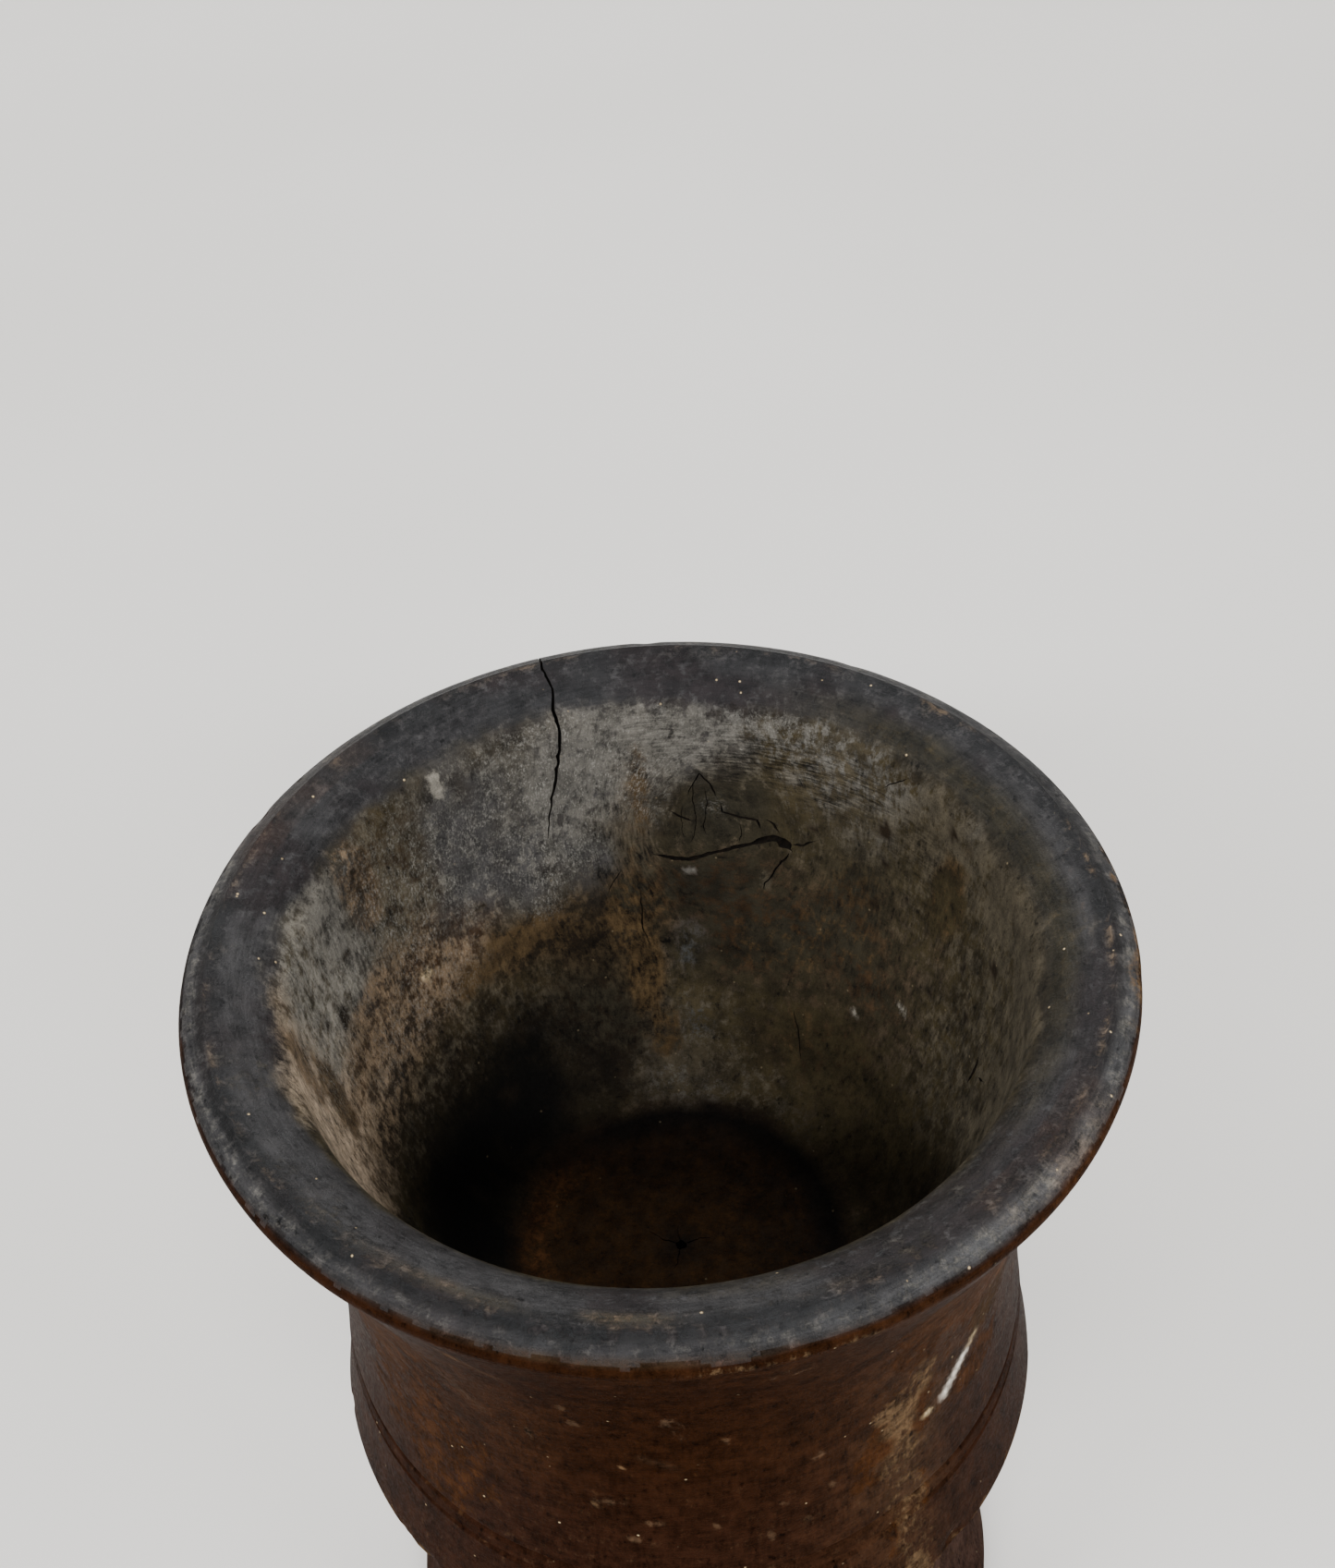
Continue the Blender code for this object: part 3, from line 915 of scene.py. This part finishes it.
def paint_rim(patina):
    """The rim: blue-black with purple patches, pale scuffs and a rubbed crest; painted shade in its
    channel, painted highlights on its roll and at the front.
    """
    patina.seed = RIM_SEED
    outward = patina.arc - CREST_ARC
    broad, medium, fine = patina.noise(30), patina.noise(7), patina.noise(2.2)
    edge = ramp(outward + 2.4 * medium + 1.5 * fine, -12.0, -7.5)
    patina.lay(edge, "rim", "slate", 0.35)
    # Slate over the inner slope, stronger toward the front: the wood's grey tone, and painted light on the
    # front part of the slope
    front = ramp(np.abs(patina.turn(-90)), 140, 80)
    patina.lay((0.25 + 0.5 * front) * edge * ramp(outward, -1.0, -3.5), ground="slate")
    front_right = front * ramp(patina.turn(-90), -30, 20)
    patina.lay(0.5 * front_right * edge * ramp(outward, -4, -7), ground="olive")
    patina.lay(edge * 0.8 * ramp(broad + medium, -0.1, 0.6), ground="purple")
    right = ramp(patina.turn(15), -60, -25) * ramp(patina.turn(15), 60, 25)
    inner = ramp(outward + 1.5 * medium, -3, -7)
    patina.lay(edge * right * inner * 0.95, "moss", "olive", 0.35)
    scuffed = edge * ramp(patina.noise(9, 4), 0.1, 0.6) * ramp(outward, 0.5, -2)
    patina.lay(0.7 * scuffed, mottle="stone", coverage=0.45)
    # Darker in the channel just outside the crest, most at the front middle: painted shade
    middle = bump(patina.turn(-102), 42)
    patina.lay((0.4 + 0.5 * middle) * bump(outward - 0.8, 1.3), "near_black", "purple", 0.3)
    # The weight called rubbed lays a painted highlight on the outer roll, away from the front middle and
    # broken up by noise
    rubbed = (1 - middle) * ramp(medium + broad, -0.7, 0.3)
    patina.lay(0.9 * bump(outward - 2.4, 1.4) * (0.3 + 0.7 * rubbed), "slate", "ash", 0.4)
    # A lighter steel band on the outer roll at the front right: painted highlight
    right_front = bump(patina.turn(-42), 42)
    patina.lay(0.75 * right_front * bump(outward - 2.1, 2.2), "steel", "ash", 0.36)
    # Just inside the crest at the front middle, lighter stone: a painted highlight broken up by noise,
    # under tan scuffs
    front_middle = bump(patina.turn(-100), 34)
    bare = front_middle * ramp(medium, -0.6, 0.3)
    patina.lay(0.85 * bare * bump(outward + 2.0, 1.3), "stone", "tan", 0.42)
    patina.lay(0.9 * front_middle * bump(outward - 3.7, 0.9), "brown", "amber", 0.3)
    crest = (0.4 + 0.5 * right) * bump(outward + 0.6, 0.8)
    patina.lay(crest * ramp(fine + medium, -0.3, 0.5), mottle="tan", coverage=0.55)
    return edge


def paint_outside(patina):
    """The lacquered outside: dark red-brown, duller under the grooves, rubbed bare on its edges; amber on
    its front left and front right that is partly painted sheen, and a painted glint.
    """
    patina.seed = OUTSIDE_SEED
    outward = patina.arc - CREST_ARC
    broad, medium, fine = patina.noise(28), patina.noise(7), patina.noise(2.2)
    lacquer = ramp(outward + 0.6 * medium + 0.3 * fine, LACQUER_START, LACQUER_START + 1)
    patina.lay(lacquer, "body", "amber", 0.12)
    patina.lay(0.4 * lacquer * ramp(broad + 0.5 * medium, 0.0, 0.7), ground="amber")
    patina.lay(0.75 * lacquer * ramp(patina.depth + 3 * medium, 38, 80), "band", "haze", 0.2)
    below = ramp(patina.depth, 98.6, 100.5) * lacquer
    patina.lay(0.8 * below * ramp(broad + 0.5 * medium, -0.9, 0.5), "foot", "haze", 0.25)
    for spot in OUTSIDE_REGIONS:
        patina.region(1, *spot)
    for spot in OUTSIDE_PATCHES:
        patina.patch(1, *spot)
    wash = bump(patina.turn(-56), 12) * bump(patina.depth - 66, 34) * ramp(medium, -0.9, 0.5)
    patina.lay(0.3 * wash * lacquer, ground="worn")
    patina.lay(0.1 * bump(patina.turn(-64), 22) * lacquer, ground="copper")
    for streak_mark in OUTSIDE_STREAKS:
        patina.streak(1, *streak_mark)
    for edge_depth, width in ((DRUM_EDGE_DEPTH, 1.1), (179, 3.0)):
        rubbed = bump(patina.arc - outer_arc(edge_depth), width) * ramp(medium + 0.4 * fine, -0.5, 0.4)
        patina.lay(rubbed, mottle="worn", coverage=0.75)
    base = ramp(patina.arc, FOOT_ARC - 0.2, FOOT_ARC + 0.6)
    rings = 0.5 + 0.5 * np.sin(patina.radius * 2.1 + 3 * medium)
    patina.lay(base, "billet", "honey", 0.5)
    patina.lay(0.7 * base * rings, ground="brown", coverage=0.25)
    return lacquer, below, base


def paint_mortar(mesh):
    """Paint the mortar and store the strength of each kind of texture on its vertices."""
    patina = Patina(mesh, mortar_section, "olive", "stone", 0.4)
    paint_bowl(patina)
    paint_rim(patina)
    lacquer, below, base = paint_outside(patina)
    inside = ramp(patina.arc - CREST_ARC, -9.0, -11.0)
    rim = (1 - inside) * (1 - lacquer)
    textures = {
        "frost": patina.zones(FROST_ZONES) * inside,
        "fibre": patina.zones(FIBRE_ZONES) * inside + 0.15 * inside + 0.35 * lacquer,
        "lathe": patina.zones(LATHE_ZONES) * inside + 0.4 * rim + 0.25 * lacquer,
        "gloss": 0.1 + 0.65 * rim + 0.7 * lacquer - 0.3 * below - 0.3 * base,
        "fleck": 0.15 + 0.85 * rim + lacquer * (0.35 + 0.6 * bump(patina.depth - 68, 12)),
    }
    patina.store(mesh, textures)
    store_places(mesh, patina.azimuth, patina.arc, patina.depth, patina.radius)
    return patina


def store_places(mesh, azimuth, arc, depth, radius):
    """Store where the fibres and the lathe's marks lie: around the axis and along the section, in mm."""
    across = np.radians(wrapped(azimuth, KNOT_AZIMUTH)) * radius
    gap = np.hypot(across, depth - KNOT_DEPTH)
    parted = across * (1 - np.clip((KNOT_RADIUS / np.maximum(gap, KNOT_RADIUS)) ** 2, 0, 1))
    bowed = np.where(arc < CREST_ARC, parted - across, 0)
    around = np.radians(azimuth) + bowed / np.maximum(radius, 1)
    fibres = polar(around, radius, -depth)
    in_knot = (arc < CREST_ARC) & (gap < KNOT_RADIUS - 1)
    turn = np.arctan2(depth - KNOT_DEPTH, across)
    fibres[in_knot] = np.stack([gap, 40 + 1.5 * np.cos(turn), KNOT_DEPTH + 6 * np.sin(turn)], -1)[in_knot]
    store_vector(mesh, "fibre_place", fibres)
    spiral = arc + LATHE_PITCH * azimuth
    store_vector(mesh, "lathe_place", polar(np.radians(azimuth), LATHE_RADIUS, -spiral))


def store_vector(mesh, name, vectors):
    """Store a vector for each vertex."""
    layer = mesh.attributes.new(name, "FLOAT_VECTOR", "POINT")
    layer.data.foreach_set("vector", vectors.ravel())


# ----- Materials -----


MM_PER_METRE = 1000


class Shader:
    """A material, with short names for the nodes that it is made of."""

    def __init__(self, name):
        self.material = bpy.data.materials.new(name)
        self.material.use_nodes = True
        self.tree = self.material.node_tree
        self.surface = self.tree.nodes["Principled BSDF"]

    def add(self, kind, inputs=(), **settings):
        """A node with its settings, and its inputs linked or set by name or number."""
        node = self.tree.nodes.new(kind)
        for name, value in settings.items():
            setattr(node, name, value)
        for key, value in dict(inputs).items():
            self.feed(node.inputs[key], value)
        return node

    def feed(self, socket, value):
        if isinstance(value, bpy.types.NodeSocket):
            self.tree.links.new(value, socket)
        else:
            socket.default_value = value

    def set(self, **inputs):
        """Set or link inputs of the surface; an underscore stands for a space."""
        for name, value in inputs.items():
            self.feed(self.surface.inputs[name.replace("_", " ")], value)

    def stored(self, name, output="Fac"):
        """What is stored on the mesh under a name."""
        return self.add("ShaderNodeAttribute", attribute_name=name).outputs[output]

    def scaled(self, vector, scale):
        return self.add("ShaderNodeMapping", {"Vector": vector, "Scale": scale}).outputs["Vector"]

    def place(self, scale):
        """The place on the object, which is in metres, times a scale."""
        return self.scaled(self.add("ShaderNodeTexCoord").outputs["Object"], scale)

    def noise(self, vector, scale, detail=2.0, roughness=0.5):
        inputs = {"Vector": vector, "Scale": scale, "Detail": detail, "Roughness": roughness}
        return self.add("ShaderNodeTexNoise", inputs).outputs["Fac"]

    def cells(self, vector, scale, randomness=1.0):
        """Distance to the nearest of scattered points, and a random value for each."""
        inputs = {"Vector": vector, "Scale": scale, "Randomness": randomness}
        node = self.add("ShaderNodeTexVoronoi", inputs)
        return node.outputs["Distance"], node.outputs["Color"]

    def ramp(self, value, low, high, start=0.0, end=1.0):
        """Smooth step from start at low to end at high."""
        inputs = {"Value": value, "From Min": low, "From Max": high, "To Min": start, "To Max": end}
        node = self.add("ShaderNodeMapRange", inputs, interpolation_type="SMOOTHSTEP")
        return node.outputs["Result"]

    def math(self, operation, result, *values):
        """The values joined by an operation, from the left."""
        for value in values:
            result = self.add("ShaderNodeMath", {0: result, 1: value}, operation=operation).outputs[0]
        return result

    def product(self, *values):
        return self.math("MULTIPLY", *values)

    def total(self, *values):
        return self.math("ADD", *values)

    def mix(self, factor, first, second, blend="MIX"):
        node = self.add("ShaderNodeMix", data_type="RGBA", blend_type=blend)
        self.feed(node.inputs["Factor"], factor)
        self.feed(node.inputs[6], first)
        self.feed(node.inputs[7], second)
        return node.outputs[2]

    def brighten(self, colour, factor):
        """The colour times a number."""
        node = self.add("ShaderNodeVectorMath", {0: colour, "Scale": factor}, operation="SCALE")
        return node.outputs[0]


def aged_wood(name, specular, reflection):
    """Old turned wood: the mesh's paints, with fibres, crumbs, lathe lines and flecks over them."""
    shader = Shader(name)
    names = ("coverage", "frost", "fibre", "lathe", "gloss", "fleck")
    coverage, frost, fibre, lathe, gloss, fleck = (shader.stored(name) for name in names)
    place = shader.place((MM_PER_METRE, MM_PER_METRE, MM_PER_METRE))
    fibre_place = shader.stored("fibre_place", "Vector")

    blotches = shader.noise(place, 0.28, 4, 0.65)
    crumbs = shader.noise(place, 1.5, 4, 0.7)
    dust = shader.noise(place, 4.2, 3, 0.7)
    fibres = shader.noise(shader.scaled(fibre_place, (1, 1, 0.16)), 1.6, 4, 0.65)
    pores = shader.noise(shader.scaled(fibre_place, (1, 1, 0.55)), 0.9, 3, 0.6)
    lines = shader.noise(shader.stored("lathe_place", "Vector"), 2.4, 4, 0.65)

    # The mottle breaks up into spots and streaks along the grain
    spots = shader.noise(place, 0.46, 7, 0.72)
    streaks = shader.noise(shader.scaled(fibre_place, (1, 1, 0.3)), 1.1, 5, 0.72)
    broken = shader.total(shader.product(spots, 0.62), shader.product(streaks, 0.38))
    shown = shader.ramp(shader.total(broken, shader.product(coverage, 0.34)), 0.60, 0.74)
    shown = shader.product(shown, shader.ramp(coverage, 0.0, 0.12))
    colour = shader.mix(shown, shader.stored("ground", "Color"), shader.stored("mottle", "Color"))

    # Brightness from every layer of texture
    level = shader.total(
        shader.ramp(blotches, 0.3, 0.7, 0.62, 1.38),
        shader.ramp(dust, 0.3, 0.7, -0.22, 0.22),
        shader.product(fibre, shader.ramp(fibres, 0.32, 0.68, -0.5, 0.5)),
        shader.product(lathe, shader.ramp(lines, 0.36, 0.64, -0.55, 0.55)),
        shader.product(shader.ramp(pores, 0.58, 0.68), -0.45),
    )
    colour = shader.brighten(colour, shader.math("MAXIMUM", level, 0.1))

    # Pale crumbs stand on the dark ground like frost, and the lathe's lines break them up; their pale is
    # partly the crumbs' own tone and partly a painted highlight on these small bumps
    grains = shader.noise(shader.scaled(fibre_place, (1, 1, 0.6)), 2.7, 6, 0.82)
    frosted = shader.product(frost, shader.ramp(grains, 0.47, 0.62), shader.ramp(spots, 0.38, 0.6, 0.15, 1))
    scored = shader.total(1.0, shader.product(lathe, shader.ramp(lines, 0.44, 0.60, -0.95, 0.0)))
    frosted = shader.product(frosted, scored)
    colour = shader.mix(frosted, colour, (*COLOURS["frost"], 1))

    # A few scattered flecks
    spot, chance = shader.cells(place, 0.55)
    chance = shader.add("ShaderNodeSeparateColor", {"Color": chance}).outputs["Red"]
    flecks = shader.product(fleck, shader.ramp(spot, 0.14, 0.06), shader.ramp(chance, 0.90, 0.92))
    colour = shader.mix(flecks, colour, (*COLOURS["cream"], 1))

    height = shader.total(
        shader.product(dust, 0.4),
        shader.product(fibre, fibres, 0.8),
        shader.product(lathe, lines, 0.5),
        shader.product(frosted, 0.8),
        shader.product(shown, 0.35),
        shader.product(crumbs, 0.35),
        shader.product(flecks, 0.6),
    )
    relief = shader.add("ShaderNodeBump", {"Strength": 0.7, "Distance": 0.0004, "Height": height})
    dull = shader.ramp(gloss, 0, 1, 0.90, 0.34)
    roughness = shader.total(dull, shader.ramp(crumbs, 0.3, 0.7, -0.08, 0.10), shader.product(shown, 0.12))
    shader.set(Base_Color=colour, Roughness=roughness, Normal=relief.outputs["Normal"])
    shader.set(Specular_IOR_Level=specular, Specular_Tint=(*reflection, 1))
    return shader.material


def crack_shade():
    """Nearly black on the cut faces of the cracks, with a faint grain: painted shade deep in the narrow
    cuts.
    """
    shader = Shader("crack_shade")
    grain = shader.noise(shader.place((MM_PER_METRE, MM_PER_METRE, 0.35 * MM_PER_METRE)), 1.4, 3, 0.6)
    dark, light = (0.0015, 0.0011, 0.0008, 1), (0.0060, 0.0040, 0.0025, 1)
    colour = shader.mix(shader.ramp(grain, 0.35, 0.7), dark, light)
    shader.set(Base_Color=colour, Roughness=0.95, Specular_IOR_Level=0.1)
    return shader.material


def floor_paint():
    """A plain pale floor."""
    shader = Shader("studio_floor")
    place = shader.add("ShaderNodeTexCoord").outputs["Object"]
    cloudy = shader.noise(place, 3.0, 2, 0.5)
    colour = shader.mix(shader.ramp(cloudy, 0.3, 0.7), (0.60, 0.595, 0.585, 1), (0.64, 0.635, 0.625, 1))
    shader.set(Base_Color=colour, Roughness=0.65)
    return shader.material


def build_mortar():
    """Turn, wear, crack and paint the mortar."""
    obj = turned_mesh("mortar_block", mortar_section, section_rows(), COLUMNS, wear_depth)
    obj.data.materials.append(aged_wood("bowl_wood", 0.12, (1.0, 1.0, 1.0)))
    cut(obj, mortar_cutters(), crack_shade())
    obj.data.materials.append(aged_wood("rim_wood", 0.13, (0.85, 0.92, 1.0)))
    obj.data.materials.append(aged_wood("lacquered_wood", 0.004, (1.0, 0.60, 0.36)))
    patina = paint_mortar(obj.data)
    outward = patina.arc - CREST_ARC + 1.2 * patina.noise(4)
    rim, lacquer = (obj.data.materials.find(name) for name in ("rim_wood", "lacquered_wood"))
    for face in obj.data.polygons:
        if face.material_index == 0 and outward[face.vertices[0]] > RIM_START:
            face.material_index = lacquer if outward[face.vertices[0]] > LACQUER_START else rim
    obj.data.set_sharp_from_angle(angle=SHARP_ANGLE)
    obj.data.transform(Matrix.Translation((0, 0, mortar_high[2])) @ Matrix.Scale(MM, 4))
    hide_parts("mortar")
    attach(obj, "mortar_body")


# ----- The pestle -----

# The pestle's half section: (radius, distance from the tip of its knob)
PESTLE_LENGTH = 196.0
KNOB_CENTRE = 15.0
KNOB_WIDEST = 14.5
HEAD_CENTRE = 172.0
HEAD_WIDEST = 21.0
PESTLE_NECK = ((9.2, 30), (9, 36), (10.8, 53), (11.7, 71), (11, 91), (10, 106))
PESTLE_SHOULDER = ((10.8, 120), (14.6, 136), (19, 154), (21, 172))

# Turned rings around it, as distances from the tip
PESTLE_RINGS = (24.5, 142.0, 144.2)

# How closely the mesh's rows are set: (distance from the tip, spacing)
PESTLE_SPACING = ((0, 0.9), (30, 0.8), (60, 1.6), (130, 1.2), (150, 0.8), (196, 0.9))

# Drying cracks: points (azimuth, distance back from the grinding end's centre, width), then a depth
PESTLE_CRACKS = (
    (((64, 16, 0.2), (66, 30, 0.5), (64, 48, 0.4), (67, 66, 0.15)), 1.4),
    (((-150, 20, 0.2), (-152, 34, 0.35), (-149, 50, 0.12)), 1.0),
)

# The checks in its end grain: (azimuth, length, width)
PESTLE_CHECKS = ((20, 9.0, 0.35), (95, 6.0, 0.3), (160, 10.5, 0.4), (235, 7.0, 0.3), (300, 8.0, 0.35))


def oval(centre, radius, reach, start, end):
    """Points (radius, distance) on an oval end, between two angles from its tip on the axis."""
    angles = np.radians(np.linspace(start, end, 60))
    return np.stack([radius * np.sin(angles), centre - reach * np.cos(angles)], -1)


def pestle_curve():
    knob = oval(KNOB_CENTRE, KNOB_WIDEST, KNOB_CENTRE, 0, 120)
    shaft = smooth_curve((tuple(knob[-1]),) + PESTLE_NECK + PESTLE_SHOULDER)
    head = oval(HEAD_CENTRE, HEAD_WIDEST, PESTLE_LENGTH - HEAD_CENTRE, 90, 180)
    return np.vstack([knob[:-1], shaft[:-1], head])


pestle_section = Section(pestle_curve())


def pestle_wear(azimuth, arc, place):
    """How far the pestle is worn back: a little all over, with small dents, a pounded head and grooves at
    its rings.
    """
    distance = -place[:, 2]
    uneven = 0.5 + 0.5 * fractal_noise(place, 30, 301, 2)
    pounded = 0.5 + 0.5 * fractal_noise(place, 6, 305, 3)
    wear = 0.05 + 0.12 * uneven + 0.30 * pounded * ramp(distance, 168, 188)
    dents = ramp(fractal_noise(place, 5, 311, 2), 0.5, 0.85)
    wear += 0.28 * dents
    for line in PESTLE_RINGS:
        wear += 0.35 * bump(distance - line, 0.7)
    return wear * ramp(arc, 0, 3) * ramp(pestle_section.arc[-1] - arc, 0, 3)


def pestle_cutters():
    """Checks in the end grain of the head, and drying cracks along its side."""
    end = pestle_section.arc[-1]
    cutters = end_checks(pestle_section, end, -1, PESTLE_CHECKS)
    for number, (points, depth) in enumerate(PESTLE_CRACKS):
        route = [(azimuth, end - back, width) for azimuth, back, width in points]
        cutters.append(crack_cutter(pestle_section, route, depth, PESTLE_CRACK_SEED + number))
    return cutters


def paint_pestle(mesh):
    """Bare wood: honey brown, darker where it is held, dark and stained on the grinding end."""
    patina = Patina(mesh, pestle_section, "billet", "honey", 0.42)
    broad, medium, fine = patina.noise(24), patina.noise(7), patina.noise(2.2)
    held = bump(patina.depth - 34, 16) + 0.6 * bump(patina.depth - 90, 34)
    patina.lay(np.clip(0.32 * held * ramp(broad + 0.4 * medium, -0.6, 0.4), 0, 1), "brown", "billet", 0.5)
    ground_end = ramp(patina.depth + 3 * medium + 2 * fine, 158, 178)
    patina.lay(0.6 * ground_end, "brown", "billet", 0.45)
    patina.lay(0.5 * ramp(patina.depth + 2 * medium, 184, 193), "stone", "tan", 0.3)
    for line in PESTLE_RINGS:
        patina.lay(0.8 * bump(patina.depth - line, 0.8), "umber", "brown", 0.3)
    textures = {
        "frost": 0.05 * ground_end,
        "fibre": 0.9 - 0.4 * ground_end,
        "lathe": np.full(len(patina.place), 0.45),
        "gloss": 0.55 * np.clip(held, 0, 1) - 0.2 * ground_end + 0.25,
        "fleck": np.full(len(patina.place), 0.2),
    }
    patina.store(mesh, textures)
    store_vector(mesh, "fibre_place", patina.place * (1, 1, -1))
    around = np.radians(patina.azimuth)
    store_vector(mesh, "lathe_place", polar(around, PESTLE_LATHE_RADIUS, -patina.arc))


def build_pestle():
    """Turn, wear, crack and paint the pestle, and lay it down on its head and its knob."""
    spacing = np.interp(pestle_section.points[:, 1], *zip(*PESTLE_SPACING))
    rows = spaced_rows(pestle_section.points, spacing)
    obj = turned_mesh("pestle_billet", pestle_section, rows, PESTLE_COLUMNS, pestle_wear)
    obj.data.materials.append(aged_wood("pestle_bare_wood", 0.30, (1.0, 1.0, 1.0)))
    cut(obj, pestle_cutters(), crack_shade())
    paint_pestle(obj.data)
    obj.data.set_sharp_from_angle(angle=SHARP_ANGLE)
    dip = math.atan((HEAD_WIDEST - KNOB_WIDEST) / (HEAD_CENTRE - KNOB_CENTRE))
    lean = Matrix.Rotation(math.pi / 2 + dip, 4, "Y")
    obj.data.transform(lean @ Matrix.Scale(MM, 4) @ Matrix.Translation((0, 0, PESTLE_LENGTH)))
    lowest = vertex_array(obj.data)[:, 2].min()
    start = -PESTLE_LENGTH / 2 * MM * math.cos(dip)
    middle = (pestle_low[1] + pestle_high[1]) / 2
    obj.data.transform(Matrix.Translation((start, middle, pestle_low[2] - lowest)))
    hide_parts("pestle")
    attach(obj, "pestle_body")


# ----- Stage, light and camera -----

LIGHT_COLOUR = (1.0, 0.98, 0.95)
WORLD_COLOUR = (1.0, 1.0, 1.0)
WORLD_STRENGTH = 0.14
FLOOR_REACH = 4.0
LENS = 42.43

# Soft lights around the mortar's rim: (name, azimuth, elevation, distance, (width, height), power);
# distances and sizes are in metres
LIGHTS = (
    ("key_light", -95, 43, 2.4, (2.6, 0.24), 104),
    ("top_light", 85, 66, 2.4, (1.4, 1.0), 40),
    ("back_light", 92, 20, 2.4, (2.2, 0.6), 36),
    ("right_light", -28, 25, 2.2, (1.2, 0.4), 34),
    ("left_light", -158, 27, 2.2, (1.2, 0.4), 34),
)

# The camera's place in metres, the way it looks, and its upward direction
CAMERA_VIEW = ((0, -0.17108, 0.36835), (0.01257, 0.73403, -0.67900), (0.07968, 0.67616, 0.73243))


def look_at(obj, location, forward, up):
    """Place an object so that its -Z looks forward."""
    forward = Vector(forward).normalized()
    right = forward.cross(Vector(up)).normalized()
    upward = right.cross(forward)
    rotation = Matrix((right, upward, -forward)).transposed()
    obj.matrix_world = Matrix.Translation(location) @ rotation.to_4x4()


def add_camera():
    data = bpy.data.cameras.new("view_camera")
    data.sensor_fit = "AUTO"
    data.sensor_width = 36.0
    data.lens = LENS
    data.clip_start = 0.01
    camera = linked("view_camera", data)
    look_at(camera, *CAMERA_VIEW)
    bpy.context.scene.camera = camera


def add_area_light(name, azimuth, elevation, distance, size, power):
    """A rectangular light that looks at the centre of the mortar's mouth."""
    data = bpy.data.lights.new(name, "AREA")
    data.shape = "RECTANGLE"
    data.size, data.size_y = size
    data.energy = power
    data.color = LIGHT_COLOUR
    light = linked(name, data)
    around, above = math.radians(azimuth), math.radians(elevation)
    away = Vector((math.cos(around) * math.cos(above), math.sin(around) * math.cos(above), math.sin(above)))
    look_at(light, Vector((0, 0, mortar_high[2])) + away * distance, -away, (0, 0, 1))


def add_world():
    world = bpy.data.worlds.new("studio")
    bpy.context.scene.world = world
    world.use_nodes = True
    background = world.node_tree.nodes["Background"]
    background.inputs["Color"].default_value = (*WORLD_COLOUR, 1)
    background.inputs["Strength"].default_value = WORLD_STRENGTH


def add_floor():
    mesh = bpy.data.meshes.new("studio_floor")
    corners = [(x * FLOOR_REACH, y * FLOOR_REACH, 0) for x, y in ((-1, -1), (1, -1), (1, 1), (-1, 1))]
    mesh.from_pydata(corners, [], [(0, 1, 2, 3)])
    mesh.materials.append(floor_paint())
    linked("studio_floor", mesh)


add_camera()
add_world()
for light in LIGHTS:
    add_area_light(*light)
add_floor()
build_mortar()
build_pestle()
